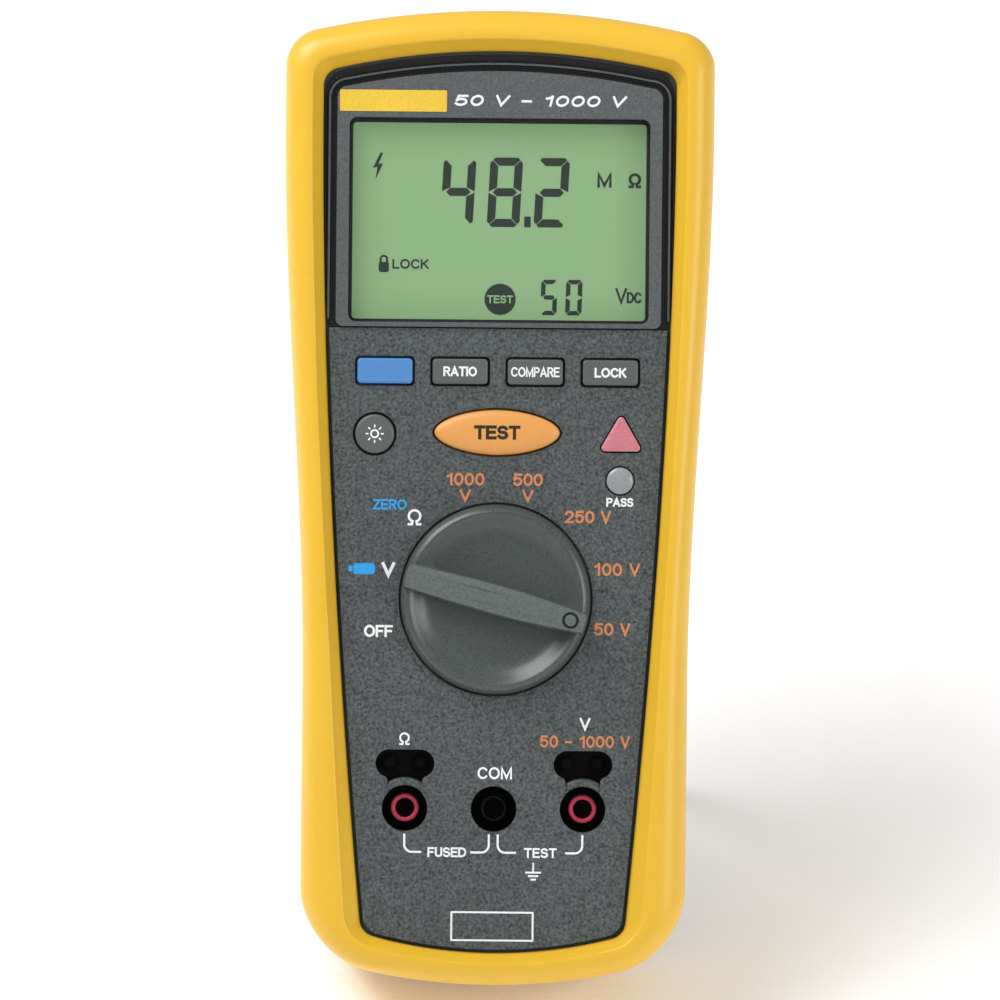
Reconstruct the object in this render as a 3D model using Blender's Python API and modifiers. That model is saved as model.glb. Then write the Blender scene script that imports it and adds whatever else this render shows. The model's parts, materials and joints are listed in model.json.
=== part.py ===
"""Hand-held insulation resistance tester, leaning back on its open tilt stand.

Every piece is placed in the body's own frame: X to the right across the face, Y up the body to the
display end, Z out of the face, with Z = 0 on the flat of the back. The empty body_frame then leans
that frame back, so the tester stands on the edge of its holster and on the foot of its stand.
"""

import math

import bmesh
import bpy
from mathutils import Vector

MM = 0.001
GAP = 0.3 * MM                       # between pieces that touch
LEAN = math.radians(30)              # of the face from upright, on the open stand

# Outline of the holster, seen from the front
BODY_TOP = 104.5 * MM
BODY_BOTTOM = -104.5 * MM
UPPER_HALF_WIDTH = 46.0 * MM         # beside the display
LOWER_HALF_WIDTH = 41.3 * MM         # beside the sockets
WAIST_LOW = -40 * MM                 # the sides draw in between these two heights
WAIST_HIGH = 80 * MM
TOP_RADIUS = 184 * MM
TOP_CORNER = 8 * MM
BOTTOM_RADIUS = 129 * MM
BOTTOM_CORNER = 14 * MM

# Outline of the opening that the holster leaves for the face
FACE_TOP = 95.7 * MM
FACE_BOTTOM = -97.4 * MM
FACE_UPPER_HALF_WIDTH = 37.8 * MM
FACE_LOWER_HALF_WIDTH = 28.3 * MM
FACE_WIDE_Y = 80 * MM                # the face is widest here and tapers below it
FACE_NARROW_Y = -92 * MM
FACE_TAPER_POWER = 1.75
FACE_TOP_RADIUS = 157 * MM
FACE_TOP_CORNER = 4 * MM
FACE_BOTTOM_RADIUS = 100 * MM
FACE_BOTTOM_CORNER = 2.5 * MM

# Depths, counted from the flat of the back
CASE_BACK = 0.6 * MM
STAND_RECESS = 6.0 * MM              # floor of the recess that the folded stand lies in
DOOR_LEDGE = 9.0 * MM                # the battery door lands on this ledge
SPLIT = 28.2 * MM                    # joint between the two case halves
SHOULDER = 41.2 * MM                 # of the front case, under the holster's front lip
FACE_INSIDE = 41.4 * MM
DISPLAY_LEDGE = 42.0 * MM            # lowered end of the face, round the display bezel
FACE = 44.0 * MM
BEZEL_FACE = 44.6 * MM
RIM = 47.0 * MM                      # crest of the holster's rim

# Walls
HOLSTER_WALL = 3.0 * MM
HOLSTER_EDGE = 4.0 * MM              # rounding of the holster's outer edges
CASE_WALL = 2.5 * MM
REAR_LIP = 6.0 * MM                  # of the holster, over the back of the case
RIM_FLARE = 2.3 * MM                 # how far the rim slopes back from the face opening
FACE_MARGIN = 1.0 * MM               # dark gap between the rim and the face
CASE_INSET = HOLSTER_WALL + GAP
HOLLOW_INSET = CASE_INSET + CASE_WALL

# Display
WINDOW_HALF_WIDTH = 31.55 * MM
WINDOW_LOW = 37.9 * MM
WINDOW_HIGH = 80.4 * MM
BEZEL_HALF_WIDTH = 34.8 * MM
BEZEL_LOW = 36.5 * MM
BEZEL_TOP = 91.3 * MM
DISPLAY_PANEL_LOW = 36.2 * MM        # the lowered end of the face starts here
PANE_LOW = 40.9 * MM
GLASS_LOW = 38.4 * MM
GLASS_TOP = 40.5 * MM
DISPLAY_FRAME_TOP = 38.1 * MM        # of the frame, light guide and connector under the glass
DISPLAY_FRAME_Y = (34.6 * MM, 84.0 * MM)
LIGHT_GUIDE_HALF_WIDTH = 30.0 * MM
LIGHT_GUIDE_Y = (39.0 * MM, 80.0 * MM)
CONNECTOR_HALF_WIDTH = 28.0 * MM
CONNECTOR_Y = (35.8 * MM, 37.4 * MM)

# Keys and lamps: centre X, centre Y
KEY_HALF_SIZE = (5.9 * MM, 2.7 * MM)
KEY_HEIGHT = 27.0 * MM
KEY_PITCH = 16.08 * MM
BACKLIGHT_KEY = (-26.2 * MM, 13.5 * MM)
BACKLIGHT_RADIUS = 4.2 * MM
TEST_KEY = (0.0, 14.0 * MM)
TEST_HALF_SIZE = (13.4 * MM, 4.8 * MM)
HAZARD_LAMP = (26.5 * MM, 12.9 * MM)
HAZARD_RADIUS = 5.5 * MM             # centre to corner of the triangle
PASS_LAMP = (26.4 * MM, 3.9 * MM)
PASS_RADIUS = 2.9 * MM
KEY_CLEARANCE = 0.5 * MM
KEY_FLANGE = 0.8 * MM
KEY_UNDERSIDE = 39.1 * MM
KEY_FLANGE_TOP = 40.1 * MM
KEY_TOP = 44.9 * MM
TEST_KEY_TOP = 45.3 * MM
LENS_LOW = 39.6 * MM
LENS_TOP = 44.5 * MM
MAT_TOP = 37.3 * MM                  # of the rubber mat under the keys

# Rotary switch
KNOB_CENTRE = (0.0, -21.7 * MM)
KNOB_RADIUS = 20.0 * MM
KNOB_RECESS_RADIUS = 20.8 * MM
KNOB_RECESS_FLOOR = 42.1 * MM
KNOB_TOP = 50.0 * MM
KNOB_DISH = 44.8 * MM                # height of the dished middle, inside a raised edge
KNOB_EDGE = 47.0 * MM
KNOB_UNDERSIDE = KNOB_RECESS_FLOOR + 0.4 * MM
ROTOR_RADIUS = 11.0 * MM
ROTOR_TOP = 36.6 * MM
SHAFT_TOP = 42.2 * MM
DETENT_RING_RADIUS = 15.5 * MM
DETENT_RING_Z = (38.4 * MM, 41.1 * MM)
KNOB_REST_ANGLE = math.radians(-15)  # the grip's pointer at the lowest test voltage
SHAFT_RADIUS = 3.6 * MM

# Test sockets
SOCKET_PITCH = 19.05 * MM            # three quarters of an inch
SOCKET_HEIGHT = -66.6 * MM
WELL_RADIUS = 4.9 * MM
REMOTE_HEIGHT = -57.0 * MM
REMOTE_HALF_SIZE = (6.3 * MM, 3.0 * MM)
REMOTE_PIN_PITCH = 6.15 * MM
COLLAR_TOP = 38.3 * MM
COLLAR_LOW = 36.2 * MM
COLLAR_RADIUS = 3.05 * MM
SOCKET_TOP = 35.9 * MM
SOCKET_RADIUS = 2.8 * MM
SOCKET_BORE = 2.05 * MM
STEM_HOLE_RADIUS = 3.1 * MM
REMOTE_FLOOR = 37.0 * MM
REMOTE_PIN_RADIUS = 1.6 * MM

# Boards
BOARD_LOW = 33.0 * MM
BOARD_TOP = 34.6 * MM
INPUT_BOARD_LOW = 26.9 * MM
INPUT_BOARD_TOP = 28.5 * MM
LED_HALF_SIZE = (1.6 * MM, 1.0 * MM)
LED_TOP = 37.0 * MM
BEEPER_PLACE = (-27.0 * MM, 0.0)
BEEPER_RADIUS = 6.0 * MM
BEEPER_TOP = 38.0 * MM

# Battery compartment
CELL_RADIUS = 7.2 * MM
CELL_LENGTH = 50.2 * MM
CELL_PITCH = 14.8 * MM
CELL_DEPTH = 16.7 * MM
COMPARTMENT_HALF_WIDTH = 29.8 * MM
COMPARTMENT_LOW = -88 * MM
COMPARTMENT_HIGH = -31 * MM
COMPARTMENT_ROOF = 25.0 * MM
COMPARTMENT_FLOOR = 8.0 * MM         # the compartments are cut up from here, through the door ledge
BATTERY_BOX_HALF_WIDTH = 33.6 * MM   # outside its walls
BATTERY_BOX_LOW = -93.6 * MM
CELL_CONTACT_THICKNESS = 0.6 * MM
CELL_CONTACT_HALF_WIDTH = 29.0 * MM
CELL_CONTACT_Z = (10.5 * MM, 23.5 * MM)
DOOR_HALF_WIDTH = 31.0 * MM
DOOR_LOW = -91.4 * MM
DOOR_HIGH = -15.6 * MM
LOCK_X = 26.0 * MM
LOCK_HEIGHT = -22.0 * MM
FUSE_HEIGHT = -23.5 * MM
FUSE_DEPTH = 13.0 * MM
FUSE_WELL_HALF_LENGTH = 20.0 * MM
FUSE_WELL_HALF_WIDTH = 5.0 * MM
FUSE_WELL_ROOF = 18.0 * MM
FUSE_HALF_LENGTH = 16.0 * MM
FUSE_CAP_START = 10.0 * MM           # along the fuse, from its middle
FUSE_CAP_RADIUS = 3.2 * MM
FUSE_TUBE_RADIUS = 2.9 * MM
FUSE_CLIP_X = 13.0 * MM
DOOR_OUTSIDE = STAND_RECESS + 0.2 * MM
LOCK_SOCKET_RADIUS = 4.4 * MM
LOCK_HOLE_RADIUS = 3.5 * MM
LOCK_HEAD_RADIUS = 3.2 * MM
LOCK_STEM_RADIUS = 2.2 * MM
LOCK_TOP = 13.0 * MM

# Tilt stand
HINGE_HEIGHT = 6.0 * MM              # up the body
HINGE_DEPTH = 3.3 * MM
STAND_LEG = 96.5 * MM                # hinge axis to the middle of the foot
STAND_HALF_WIDTH = 31.5 * MM
FOOT_RADIUS = 2.6 * MM
BARREL_RADIUS = 2.5 * MM
STAND_HALF_THICKNESS = 1.8 * MM
PIN_RADIUS = 1.2 * MM
PIN_HALF_LENGTH = 4.2 * MM
PIN_X = 30.8 * MM

# Case screws: X, Y
UPPER_SCREW = (31.0 * MM, 90.5 * MM)
LOWER_SCREW = (28.0 * MM, -10.5 * MM)
SCREW_RADIUS = 1.3 * MM
SCREW_HEAD_RADIUS = 2.7 * MM
SCREW_TIP = 36.0 * MM
PILOT_HOLE_TOP = 37.0 * MM
BOSS_RADIUS = 3.6 * MM


def clear_scene():
    for found in list(bpy.data.objects):
        bpy.data.objects.remove(found, do_unlink=True)
    for found in list(bpy.data.collections):
        bpy.data.collections.remove(found)


def make_collection(name):
    collection = bpy.data.collections.new(name)
    bpy.context.scene.collection.children.link(collection)
    return collection


def linear(value):
    """One sRGB channel, 0 to 255, as scene linear light."""
    share = value / 255
    return share / 12.92 if share <= 0.04045 else ((share + 0.055) / 1.055) ** 2.4


def make_material(name, colour, roughness=0.5, metallic=0.0):
    material = bpy.data.materials.new(name)
    material.use_nodes = True
    shader = material.node_tree.nodes["Principled BSDF"]
    shader.inputs["Base Color"].default_value = (*[linear(value) for value in colour], 1)
    shader.inputs["Roughness"].default_value = roughness
    shader.inputs["Metallic"].default_value = metallic
    return material


def circle(radius, centre=(0.0, 0.0), steps=18):
    turn = 2 * math.pi / steps
    return [(centre[0] + radius * math.cos(turn * step), centre[1] + radius * math.sin(turn * step))
            for step in range(steps)]


def ellipse(half_x, half_y, centre, steps=26):
    return [(centre[0] + half_x * x, centre[1] + half_y * y) for x, y in circle(1.0, steps=steps)]


def arc(centre, radius, start, end, steps):
    """Points along an arc, from one angle in degrees to the other, both ends included."""
    points = []
    for step in range(steps + 1):
        angle = math.radians(start + (end - start) * step / steps)
        points.append((centre[0] + radius * math.cos(angle), centre[1] + radius * math.sin(angle)))
    return points


def rounded_box(half_x, low, high, radius, steps=3, middle=0.0, low_radius=None):
    """A box with round corners, symmetric about X = middle, running anticlockwise."""
    foot = low_radius or radius
    corners = [(half_x - radius, high - radius, radius), (radius - half_x, high - radius, radius),
               (foot - half_x, low + foot, foot), (half_x - foot, low + foot, foot)]
    points = []
    for number, (x, y, reach) in enumerate(corners):
        points += arc((middle + x, y), reach, 90 * number, 90 * number + 90, steps)
    return points


def smooth_step(share):
    share = min(max(share, 0.0), 1.0)
    return share * share * (3 - 2 * share)


def body_half_width(y):
    share = (y - WAIST_LOW) / (WAIST_HIGH - WAIST_LOW)
    return LOWER_HALF_WIDTH + (UPPER_HALF_WIDTH - LOWER_HALF_WIDTH) * smooth_step(share)


def face_half_width(y):
    share = min(max((FACE_WIDE_Y - y) / (FACE_WIDE_Y - FACE_NARROW_Y), 0.0), 1.0)
    narrowing = FACE_UPPER_HALF_WIDTH - FACE_LOWER_HALF_WIDTH
    return FACE_UPPER_HALF_WIDTH - narrowing * share ** FACE_TAPER_POWER


def crown_drop(x, radius):
    """How far a crowned end has fallen away at X from its middle."""
    return radius - math.sqrt(radius * radius - x * x)


def rounded_corner(start, corner, end, steps):
    """A round corner as a cubic curve that leaves start and reaches end towards the corner."""
    handle = 0.5523
    first = Vector(start).lerp(Vector(corner), handle)
    second = Vector(end).lerp(Vector(corner), handle)
    points = []
    for step in range(steps + 1):
        t = step / steps
        point = (Vector(start) * (1 - t) ** 3 + first * 3 * t * (1 - t) ** 2
                 + second * 3 * t * t * (1 - t) + Vector(end) * t ** 3)
        points.append(tuple(point))
    return points


def crowned_outline(half_width, top, top_radius, top_corner, bottom, bottom_radius, bottom_corner):
    """Anticlockwise outline with crowned ends, shaped sides and round corners."""
    crown_steps, side_steps, corner_steps = 3, 7, 4
    bottom_half = half_width(bottom + bottom_corner)
    bottom_edge = bottom + crown_drop(bottom_half, bottom_radius)
    top_half = half_width(top - top_corner)
    top_edge = top - crown_drop(top_half, top_radius)
    side_low = bottom_edge + bottom_corner
    side_high = top_edge - top_corner
    right = []
    for step in range(crown_steps):
        x = (bottom_half - bottom_corner) * step / crown_steps
        right.append((x, bottom + crown_drop(x, bottom_radius)))
    crown_end = bottom_half - bottom_corner
    right += rounded_corner((crown_end, bottom + crown_drop(crown_end, bottom_radius)),
                            (bottom_half, bottom_edge), (half_width(side_low), side_low), corner_steps)
    for step in range(1, side_steps):
        y = side_low + (side_high - side_low) * step / side_steps
        right.append((half_width(y), y))
    crown_end = top_half - top_corner
    right += rounded_corner((half_width(side_high), side_high), (top_half, top_edge),
                            (crown_end, top - crown_drop(crown_end, top_radius)), corner_steps)
    for step in range(crown_steps - 1, -1, -1):
        x = crown_end * step / crown_steps
        right.append((x, top - crown_drop(x, top_radius)))
    left = [(-x, y) for x, y in reversed(right[1:-1])]
    return right + left


def inset(points, distance):
    """The outline moved inwards by a distance, or outwards by a negative one."""
    moved = []
    for index, point in enumerate(points):
        before = Vector(points[index - 1])
        after = Vector(points[(index + 1) % len(points)])
        along = (after - before).normalized()
        moved.append((point[0] - along.y * distance, point[1] + along.x * distance))
    return moved


def body_outline(distance=0.0):
    outline = crowned_outline(body_half_width, BODY_TOP, TOP_RADIUS, TOP_CORNER,
                              BODY_BOTTOM, BOTTOM_RADIUS, BOTTOM_CORNER)
    return inset(outline, distance)


def face_outline(distance=0.0):
    """The face opening, its corners kept round where it is moved inwards."""
    spare = max(distance, 0.0)
    outline = crowned_outline(face_half_width, FACE_TOP, FACE_TOP_RADIUS, FACE_TOP_CORNER + spare,
                              FACE_BOTTOM, FACE_BOTTOM_RADIUS, FACE_BOTTOM_CORNER + spare)
    return inset(outline, distance)


def triangle(radius, centre, corner=0.8 * MM):
    """Upright triangle with rounded corners."""
    points = []
    for direction in (90, 210, 330):
        angle = math.radians(direction)
        reach = radius - 2 * corner
        middle = (centre[0] + reach * math.cos(angle), centre[1] + reach * math.sin(angle))
        points += arc(middle, corner, direction - 60, direction + 60, 3)
    return points


def flat_mesh(name, outlines, low, high):
    """Closed outlines, the inner ones as holes, filled and extruded from low to high."""
    curve = bpy.data.curves.new(name, "CURVE")
    curve.dimensions = "2D"
    curve.fill_mode = "BOTH"
    curve.extrude = (high - low) / 2
    for points in outlines:
        spline = curve.splines.new("POLY")
        spline.points.add(len(points) - 1)
        for target, (x, y) in zip(spline.points, points):
            target.co = (x, y, 0, 1)
        spline.use_cyclic_u = True
    guide = bpy.data.objects.new(name, curve)
    bpy.context.scene.collection.objects.link(guide)
    bpy.context.view_layer.update()
    evaluated = guide.evaluated_get(bpy.context.evaluated_depsgraph_get())
    mesh = bpy.data.meshes.new_from_object(evaluated)
    bpy.data.objects.remove(guide, do_unlink=True)
    shape = bmesh.new()
    shape.from_mesh(mesh)
    bmesh.ops.remove_doubles(shape, verts=shape.verts, dist=0.00001)
    bmesh.ops.translate(shape, verts=shape.verts, vec=(0, 0, (low + high) / 2))
    bmesh.ops.recalc_face_normals(shape, faces=shape.faces)
    shape.to_mesh(mesh)
    shape.free()
    return mesh


def lofted_mesh(name, lower, low, upper, high):
    """A closed solid between two outlines of as many points, one at each height."""
    shape = bmesh.new()
    below = [shape.verts.new((x, y, low)) for x, y in lower]
    above = [shape.verts.new((x, y, high)) for x, y in upper]
    shape.faces.new(list(reversed(below)))
    shape.faces.new(above)
    for index, first in enumerate(below):
        after = (index + 1) % len(below)
        shape.faces.new((first, below[after], above[after], above[index]))
    mesh = bpy.data.meshes.new(name)
    shape.to_mesh(mesh)
    shape.free()
    return mesh


def cylinder_mesh(name, radius, low, high, centre=(0.0, 0.0), steps=18):
    shape = bmesh.new()
    bmesh.ops.create_cone(shape, cap_ends=True, segments=steps, radius1=radius, radius2=radius,
                          depth=high - low)
    bmesh.ops.translate(shape, verts=shape.verts, vec=(centre[0], centre[1], (low + high) / 2))
    mesh = bpy.data.meshes.new(name)
    shape.to_mesh(mesh)
    shape.free()
    return mesh


def box_mesh(name, low, high):
    size = Vector(high) - Vector(low)
    shape = bmesh.new()
    bmesh.ops.create_cube(shape, size=1)
    bmesh.ops.scale(shape, verts=shape.verts, vec=size)
    bmesh.ops.translate(shape, verts=shape.verts, vec=(Vector(low) + Vector(high)) / 2)
    mesh = bpy.data.meshes.new(name)
    shape.to_mesh(mesh)
    shape.free()
    return mesh


def profile_mesh(name, profile):
    """Radius and height pairs as a wire, from the top of the axis down the outer side."""
    mesh = bpy.data.meshes.new(name)
    points = [(radius, 0, height) for radius, height in profile]
    edges = [(index, index + 1) for index in range(len(points) - 1)]
    mesh.from_pydata(points, edges, [])
    return mesh


def turn_to_side(mesh):
    """Stands an outline drawn as (Y, Z) and extruded along Z on its side, extruded along X."""
    shape = bmesh.new()
    shape.from_mesh(mesh)
    for vertex in shape.verts:
        along, out, across = vertex.co
        vertex.co = (across, along, out)
    shape.to_mesh(mesh)
    shape.free()


def place(name, mesh, collection, parent, location=(0, 0, 0)):
    placed = bpy.data.objects.new(name, mesh)
    collection.objects.link(placed)
    placed.parent = parent
    placed.location = location
    return placed


def add_part(name, mesh, material, location=(0, 0, 0), parent=None):
    part = place(name, mesh, PARTS, parent or BODY, location)
    if not mesh.materials:
        mesh.materials.append(material)
    return part


def add_cutter(name, mesh, location=(0, 0, 0), parent=None):
    cutter = place(name, mesh, CUTTERS, parent or BODY, location)
    cutter.hide_render = True
    cutter.display_type = "WIRE"
    return cutter


def combine(target, tool, operation="DIFFERENCE"):
    modifier = target.modifiers.new(tool.name, "BOOLEAN")
    modifier.operation = operation
    modifier.object = tool
    return target


def round_edges(target, width, segments=2, angle=50):
    modifier = target.modifiers.new("rounding", "BEVEL")
    modifier.width = width
    modifier.segments = segments
    modifier.limit_method = "ANGLE"
    modifier.angle_limit = math.radians(angle)


def spin_profile(target, steps=24):
    modifier = target.modifiers.new("turning", "SCREW")
    modifier.steps = steps
    modifier.render_steps = steps
    modifier.use_merge_vertices = True
    modifier.merge_threshold = 0.00001


def smooth_shade(target, angle=35):
    target.data.shade_smooth()
    target.data.set_sharp_from_angle(angle=math.radians(angle))


def screw_places():
    for x, y in (UPPER_SCREW, LOWER_SCREW):
        for side in (-1, 1):
            yield side * x, y


def make_holster():
    outer = flat_mesh("holster", [body_outline()], 0, RIM)
    holster = add_part("holster", outer, YELLOW_RUBBER)
    round_edges(holster, HOLSTER_EDGE, 3)
    cavity = flat_mesh("holster_cavity", [body_outline(HOLSTER_WALL)], CASE_BACK + 2.0 * MM, SHOULDER + GAP)
    combine(holster, add_cutter("holster_cavity", cavity))
    rear = flat_mesh("rear_opening", [body_outline(REAR_LIP)], -MM, SPLIT)
    combine(holster, add_cutter("rear_opening", rear))
    front = lofted_mesh("face_opening", face_outline(), SHOULDER - MM, face_outline(), FACE - MM)
    combine(holster, add_cutter("face_opening", front))
    over = 0.2 * MM
    depth = RIM - FACE + MM
    flare = RIM_FLARE * (depth + over) / depth
    slope = lofted_mesh("rim_slope", face_outline(), FACE - MM - over, face_outline(-flare), RIM + over)
    combine(holster, add_cutter("rim_slope", slope))
    smooth_shade(holster)


def make_rear_case():
    outer = flat_mesh("rear_case", [body_outline(CASE_INSET)], CASE_BACK, SPLIT - 0.6 * MM)
    case = add_part("rear_case", outer, GREY_PLASTIC)
    step = flat_mesh("rear_step", [body_outline(HOLSTER_WALL - MM), body_outline(REAR_LIP + GAP)],
                     CASE_BACK - MM, CASE_BACK + 2.3 * MM)
    combine(case, add_cutter("rear_step", step))
    recess = flat_mesh("stand_recess", [rounded_box(33 * MM, -96 * MM, 11 * MM, 2 * MM, 4,
                                                    low_radius=12 * MM)], CASE_BACK - MM, STAND_RECESS)
    combine(case, add_cutter("stand_recess", recess))
    rebate = flat_mesh("door_rebate", [rounded_box(DOOR_HALF_WIDTH + GAP, DOOR_LOW - GAP,
                                                   DOOR_HIGH + GAP, 3 * MM)], 5 * MM, DOOR_LEDGE)
    combine(case, add_cutter("door_rebate", rebate))
    combine(case, make_case_hollow())
    combine(case, make_upper_hollow())
    compartment = box_mesh("cell_compartment", (-COMPARTMENT_HALF_WIDTH, COMPARTMENT_LOW, COMPARTMENT_FLOOR),
                           (COMPARTMENT_HALF_WIDTH, COMPARTMENT_HIGH, COMPARTMENT_ROOF))
    combine(case, add_cutter("cell_compartment", compartment))
    fuse_well = box_mesh("fuse_well",
                         (-FUSE_WELL_HALF_LENGTH, FUSE_HEIGHT - FUSE_WELL_HALF_WIDTH, COMPARTMENT_FLOOR),
                         (FUSE_WELL_HALF_LENGTH, FUSE_HEIGHT + FUSE_WELL_HALF_WIDTH, FUSE_WELL_ROOF))
    combine(case, add_cutter("fuse_well", fuse_well))
    for number, side in enumerate((-1, 1)):
        socket = cylinder_mesh("lock_socket", LOCK_SOCKET_RADIUS, COMPARTMENT_FLOOR, LOCK_TOP + 3 * MM)
        combine(case, add_cutter("lock_socket_%d" % number, socket, (side * LOCK_X, LOCK_HEIGHT, 0)))
        bore = cylinder_mesh("pin_bore", PIN_RADIUS + GAP, -3.4 * MM, 3.4 * MM, steps=16)
        pin_bore = add_cutter("pin_bore_%d" % number, bore,
                              (side * 32.0 * MM, HINGE_HEIGHT, HINGE_DEPTH))
        pin_bore.rotation_euler.y = math.pi / 2
        combine(case, pin_bore)
    for number, (x, y) in enumerate(screw_places()):
        floor = CASE_BACK if y > 0 else STAND_RECESS
        head = cylinder_mesh("head_seat", SCREW_HEAD_RADIUS + GAP, floor - MM, floor + 2.4 * MM, steps=16)
        combine(case, add_cutter("head_seat_%d" % number, head, (x, y, 0)))
        hole = cylinder_mesh("screw_hole", SCREW_RADIUS + GAP, floor, SPLIT + MM, steps=12)
        combine(case, add_cutter("screw_hole_%d" % number, hole, (x, y, 0)))


def make_case_hollow():
    """The room inside the rear case, which leaves the battery box and the lower screw bosses."""
    floor = STAND_RECESS + CASE_WALL
    hollow = add_cutter("case_hollow", flat_mesh("case_hollow", [body_outline(HOLLOW_INSET)], floor,
                                                 SPLIT + MM))
    box = box_mesh("battery_box", (-BATTERY_BOX_HALF_WIDTH, BATTERY_BOX_LOW, floor - MM),
                   (BATTERY_BOX_HALF_WIDTH, DOOR_HIGH + 2.2 * MM, COMPARTMENT_ROOF + 1.5 * MM))
    combine(hollow, add_cutter("battery_box", box))
    for number, (x, y) in enumerate(screw_places()):
        boss = cylinder_mesh("rear_boss", BOSS_RADIUS + 0.4 * MM, floor - MM, SPLIT + 2 * MM, steps=16)
        combine(hollow, add_cutter("rear_boss_%d" % number, boss, (x, y, 0)))
    return hollow


def make_upper_hollow():
    """Behind the display the case floor is one wall thick."""
    outline = rounded_box(36 * MM, 14 * MM, 84 * MM, 4 * MM)
    mesh = flat_mesh("upper_hollow", [outline], CASE_BACK + CASE_WALL, STAND_RECESS + CASE_WALL + MM)
    return add_cutter("upper_hollow", mesh)


def make_front_case():
    outer = flat_mesh("front_case", [body_outline(CASE_INSET)], SPLIT + 0.6 * MM, FACE)
    case = add_part("front_case", outer, GREY_PLASTIC)
    shoulder = flat_mesh("shoulder", [body_outline(HOLSTER_WALL - MM), face_outline(FACE_MARGIN)],
                         SHOULDER, FACE + MM)
    combine(case, add_cutter("shoulder", shoulder))
    display_end = box_mesh("display_end", (-UPPER_HALF_WIDTH, DISPLAY_PANEL_LOW, DISPLAY_LEDGE),
                           (UPPER_HALF_WIDTH, BODY_TOP, FACE + MM))
    combine(case, add_cutter("display_end", display_end))
    combine(case, make_front_hollow())
    for number, (x, y) in enumerate(screw_places()):
        pilot = cylinder_mesh("pilot_hole", SCREW_RADIUS + GAP, SPLIT - MM, PILOT_HOLE_TOP, steps=12)
        combine(case, add_cutter("pilot_hole_%d" % number, pilot, (x, y, 0)))
    for name, outlines in face_holes().items():
        mesh = flat_mesh(name, outlines, SHOULDER - CASE_WALL - 2 * MM, FACE + MM)
        combine(case, add_cutter(name, mesh))
    recess = cylinder_mesh("knob_recess", KNOB_RECESS_RADIUS, KNOB_RECESS_FLOOR, FACE + MM, steps=36)
    combine(case, add_cutter("knob_recess", recess, (*KNOB_CENTRE, 0)))


def make_front_hollow():
    """The room inside the front case, stepped where the face stands up, less the screw bosses."""
    top = SHOULDER - CASE_WALL
    hollow = add_cutter("front_hollow", flat_mesh("front_hollow", [body_outline(HOLLOW_INSET)],
                                                  SPLIT - MM, top))
    raised = flat_mesh("raised_hollow", [face_outline(3.5 * MM)], top - MM, FACE_INSIDE)
    combine(hollow, add_cutter("raised_hollow", raised), "UNION")
    for number, (x, y) in enumerate(screw_places()):
        boss = cylinder_mesh("front_boss", BOSS_RADIUS, SPLIT - 2 * MM, FACE, steps=16)
        combine(hollow, add_cutter("front_boss_%d" % number, boss, (x, y, 0)))
    return hollow


def face_holes():
    """The holes through the face, by name: each is a list with one outline."""
    holes = {"display_hole": [rounded_box(33.2 * MM, 36.9 * MM, 82 * MM, MM)],
             "shaft_hole": [circle(SHAFT_RADIUS + 0.5 * MM, KNOB_CENTRE)],
             "backlight_hole": [circle(BACKLIGHT_RADIUS + KEY_CLEARANCE, BACKLIGHT_KEY)],
             "test_hole": [ellipse(TEST_HALF_SIZE[0] + KEY_CLEARANCE, TEST_HALF_SIZE[1] + KEY_CLEARANCE,
                                   TEST_KEY)],
             "hazard_hole": [inset(triangle(HAZARD_RADIUS, HAZARD_LAMP), -GAP)],
             "pass_hole": [circle(PASS_RADIUS + GAP, PASS_LAMP)]}
    for number, x in enumerate(key_places()):
        holes["key_hole_%d" % number] = [key_outline(x, KEY_CLEARANCE)]
    for number in (-1, 0, 1):
        x = number * SOCKET_PITCH
        holes["well_hole_%d" % (number + 1)] = [circle(WELL_RADIUS, (x, SOCKET_HEIGHT))]
        if number:
            holes["remote_hole_%d" % (number + 1)] = [remote_outline(x)]
            holes["neck_hole_%d" % (number + 1)] = [neck_outline(x)]
    return holes


def key_places():
    return [(number - 1.5) * KEY_PITCH for number in range(4)]


def key_outline(x, margin=0.0):
    return rounded_box(KEY_HALF_SIZE[0] + margin, KEY_HEIGHT - KEY_HALF_SIZE[1] - margin,
                       KEY_HEIGHT + KEY_HALF_SIZE[1] + margin, 0.8 * MM, 2, x)


def remote_outline(x, margin=0.0):
    half_x, half_y = REMOTE_HALF_SIZE
    return rounded_box(half_x - margin, REMOTE_HEIGHT - half_y + margin,
                       REMOTE_HEIGHT + half_y - margin, half_y - margin - 0.05 * MM, 5, x)


def neck_outline(x, margin=0.0):
    """The straight way between a well and the recess above it."""
    return rounded_box(4.0 * MM - margin, SOCKET_HEIGHT, REMOTE_HEIGHT, 0.5 * MM, 1, x)


def make_gasket():
    gasket = flat_mesh("case_gasket", [body_outline(CASE_INSET + 0.4 * MM),
                                       body_outline(HOLLOW_INSET - 0.3 * MM)],
                       SPLIT - 0.3 * MM, SPLIT + 0.3 * MM)
    add_part("case_gasket", gasket, BLACK_RUBBER)


def make_screws():
    names = ("upper_left_screw", "upper_right_screw", "lower_left_screw", "lower_right_screw")
    for name, (x, y) in zip(names, screw_places()):
        floor = (CASE_BACK if y > 0 else STAND_RECESS) + 0.4 * MM
        head_top = floor + 1.7 * MM
        profile = [(0, SCREW_TIP), (SCREW_RADIUS * 0.6, SCREW_TIP), (SCREW_RADIUS, SCREW_TIP - MM),
                   (SCREW_RADIUS, head_top), (SCREW_HEAD_RADIUS, head_top),
                   (SCREW_HEAD_RADIUS, floor + 0.5 * MM), (SCREW_HEAD_RADIUS * 0.8, floor), (0, floor)]
        screw = add_part(name, profile_mesh(name, profile), STEEL, (x, y, 0))
        spin_profile(screw, 10)


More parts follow.
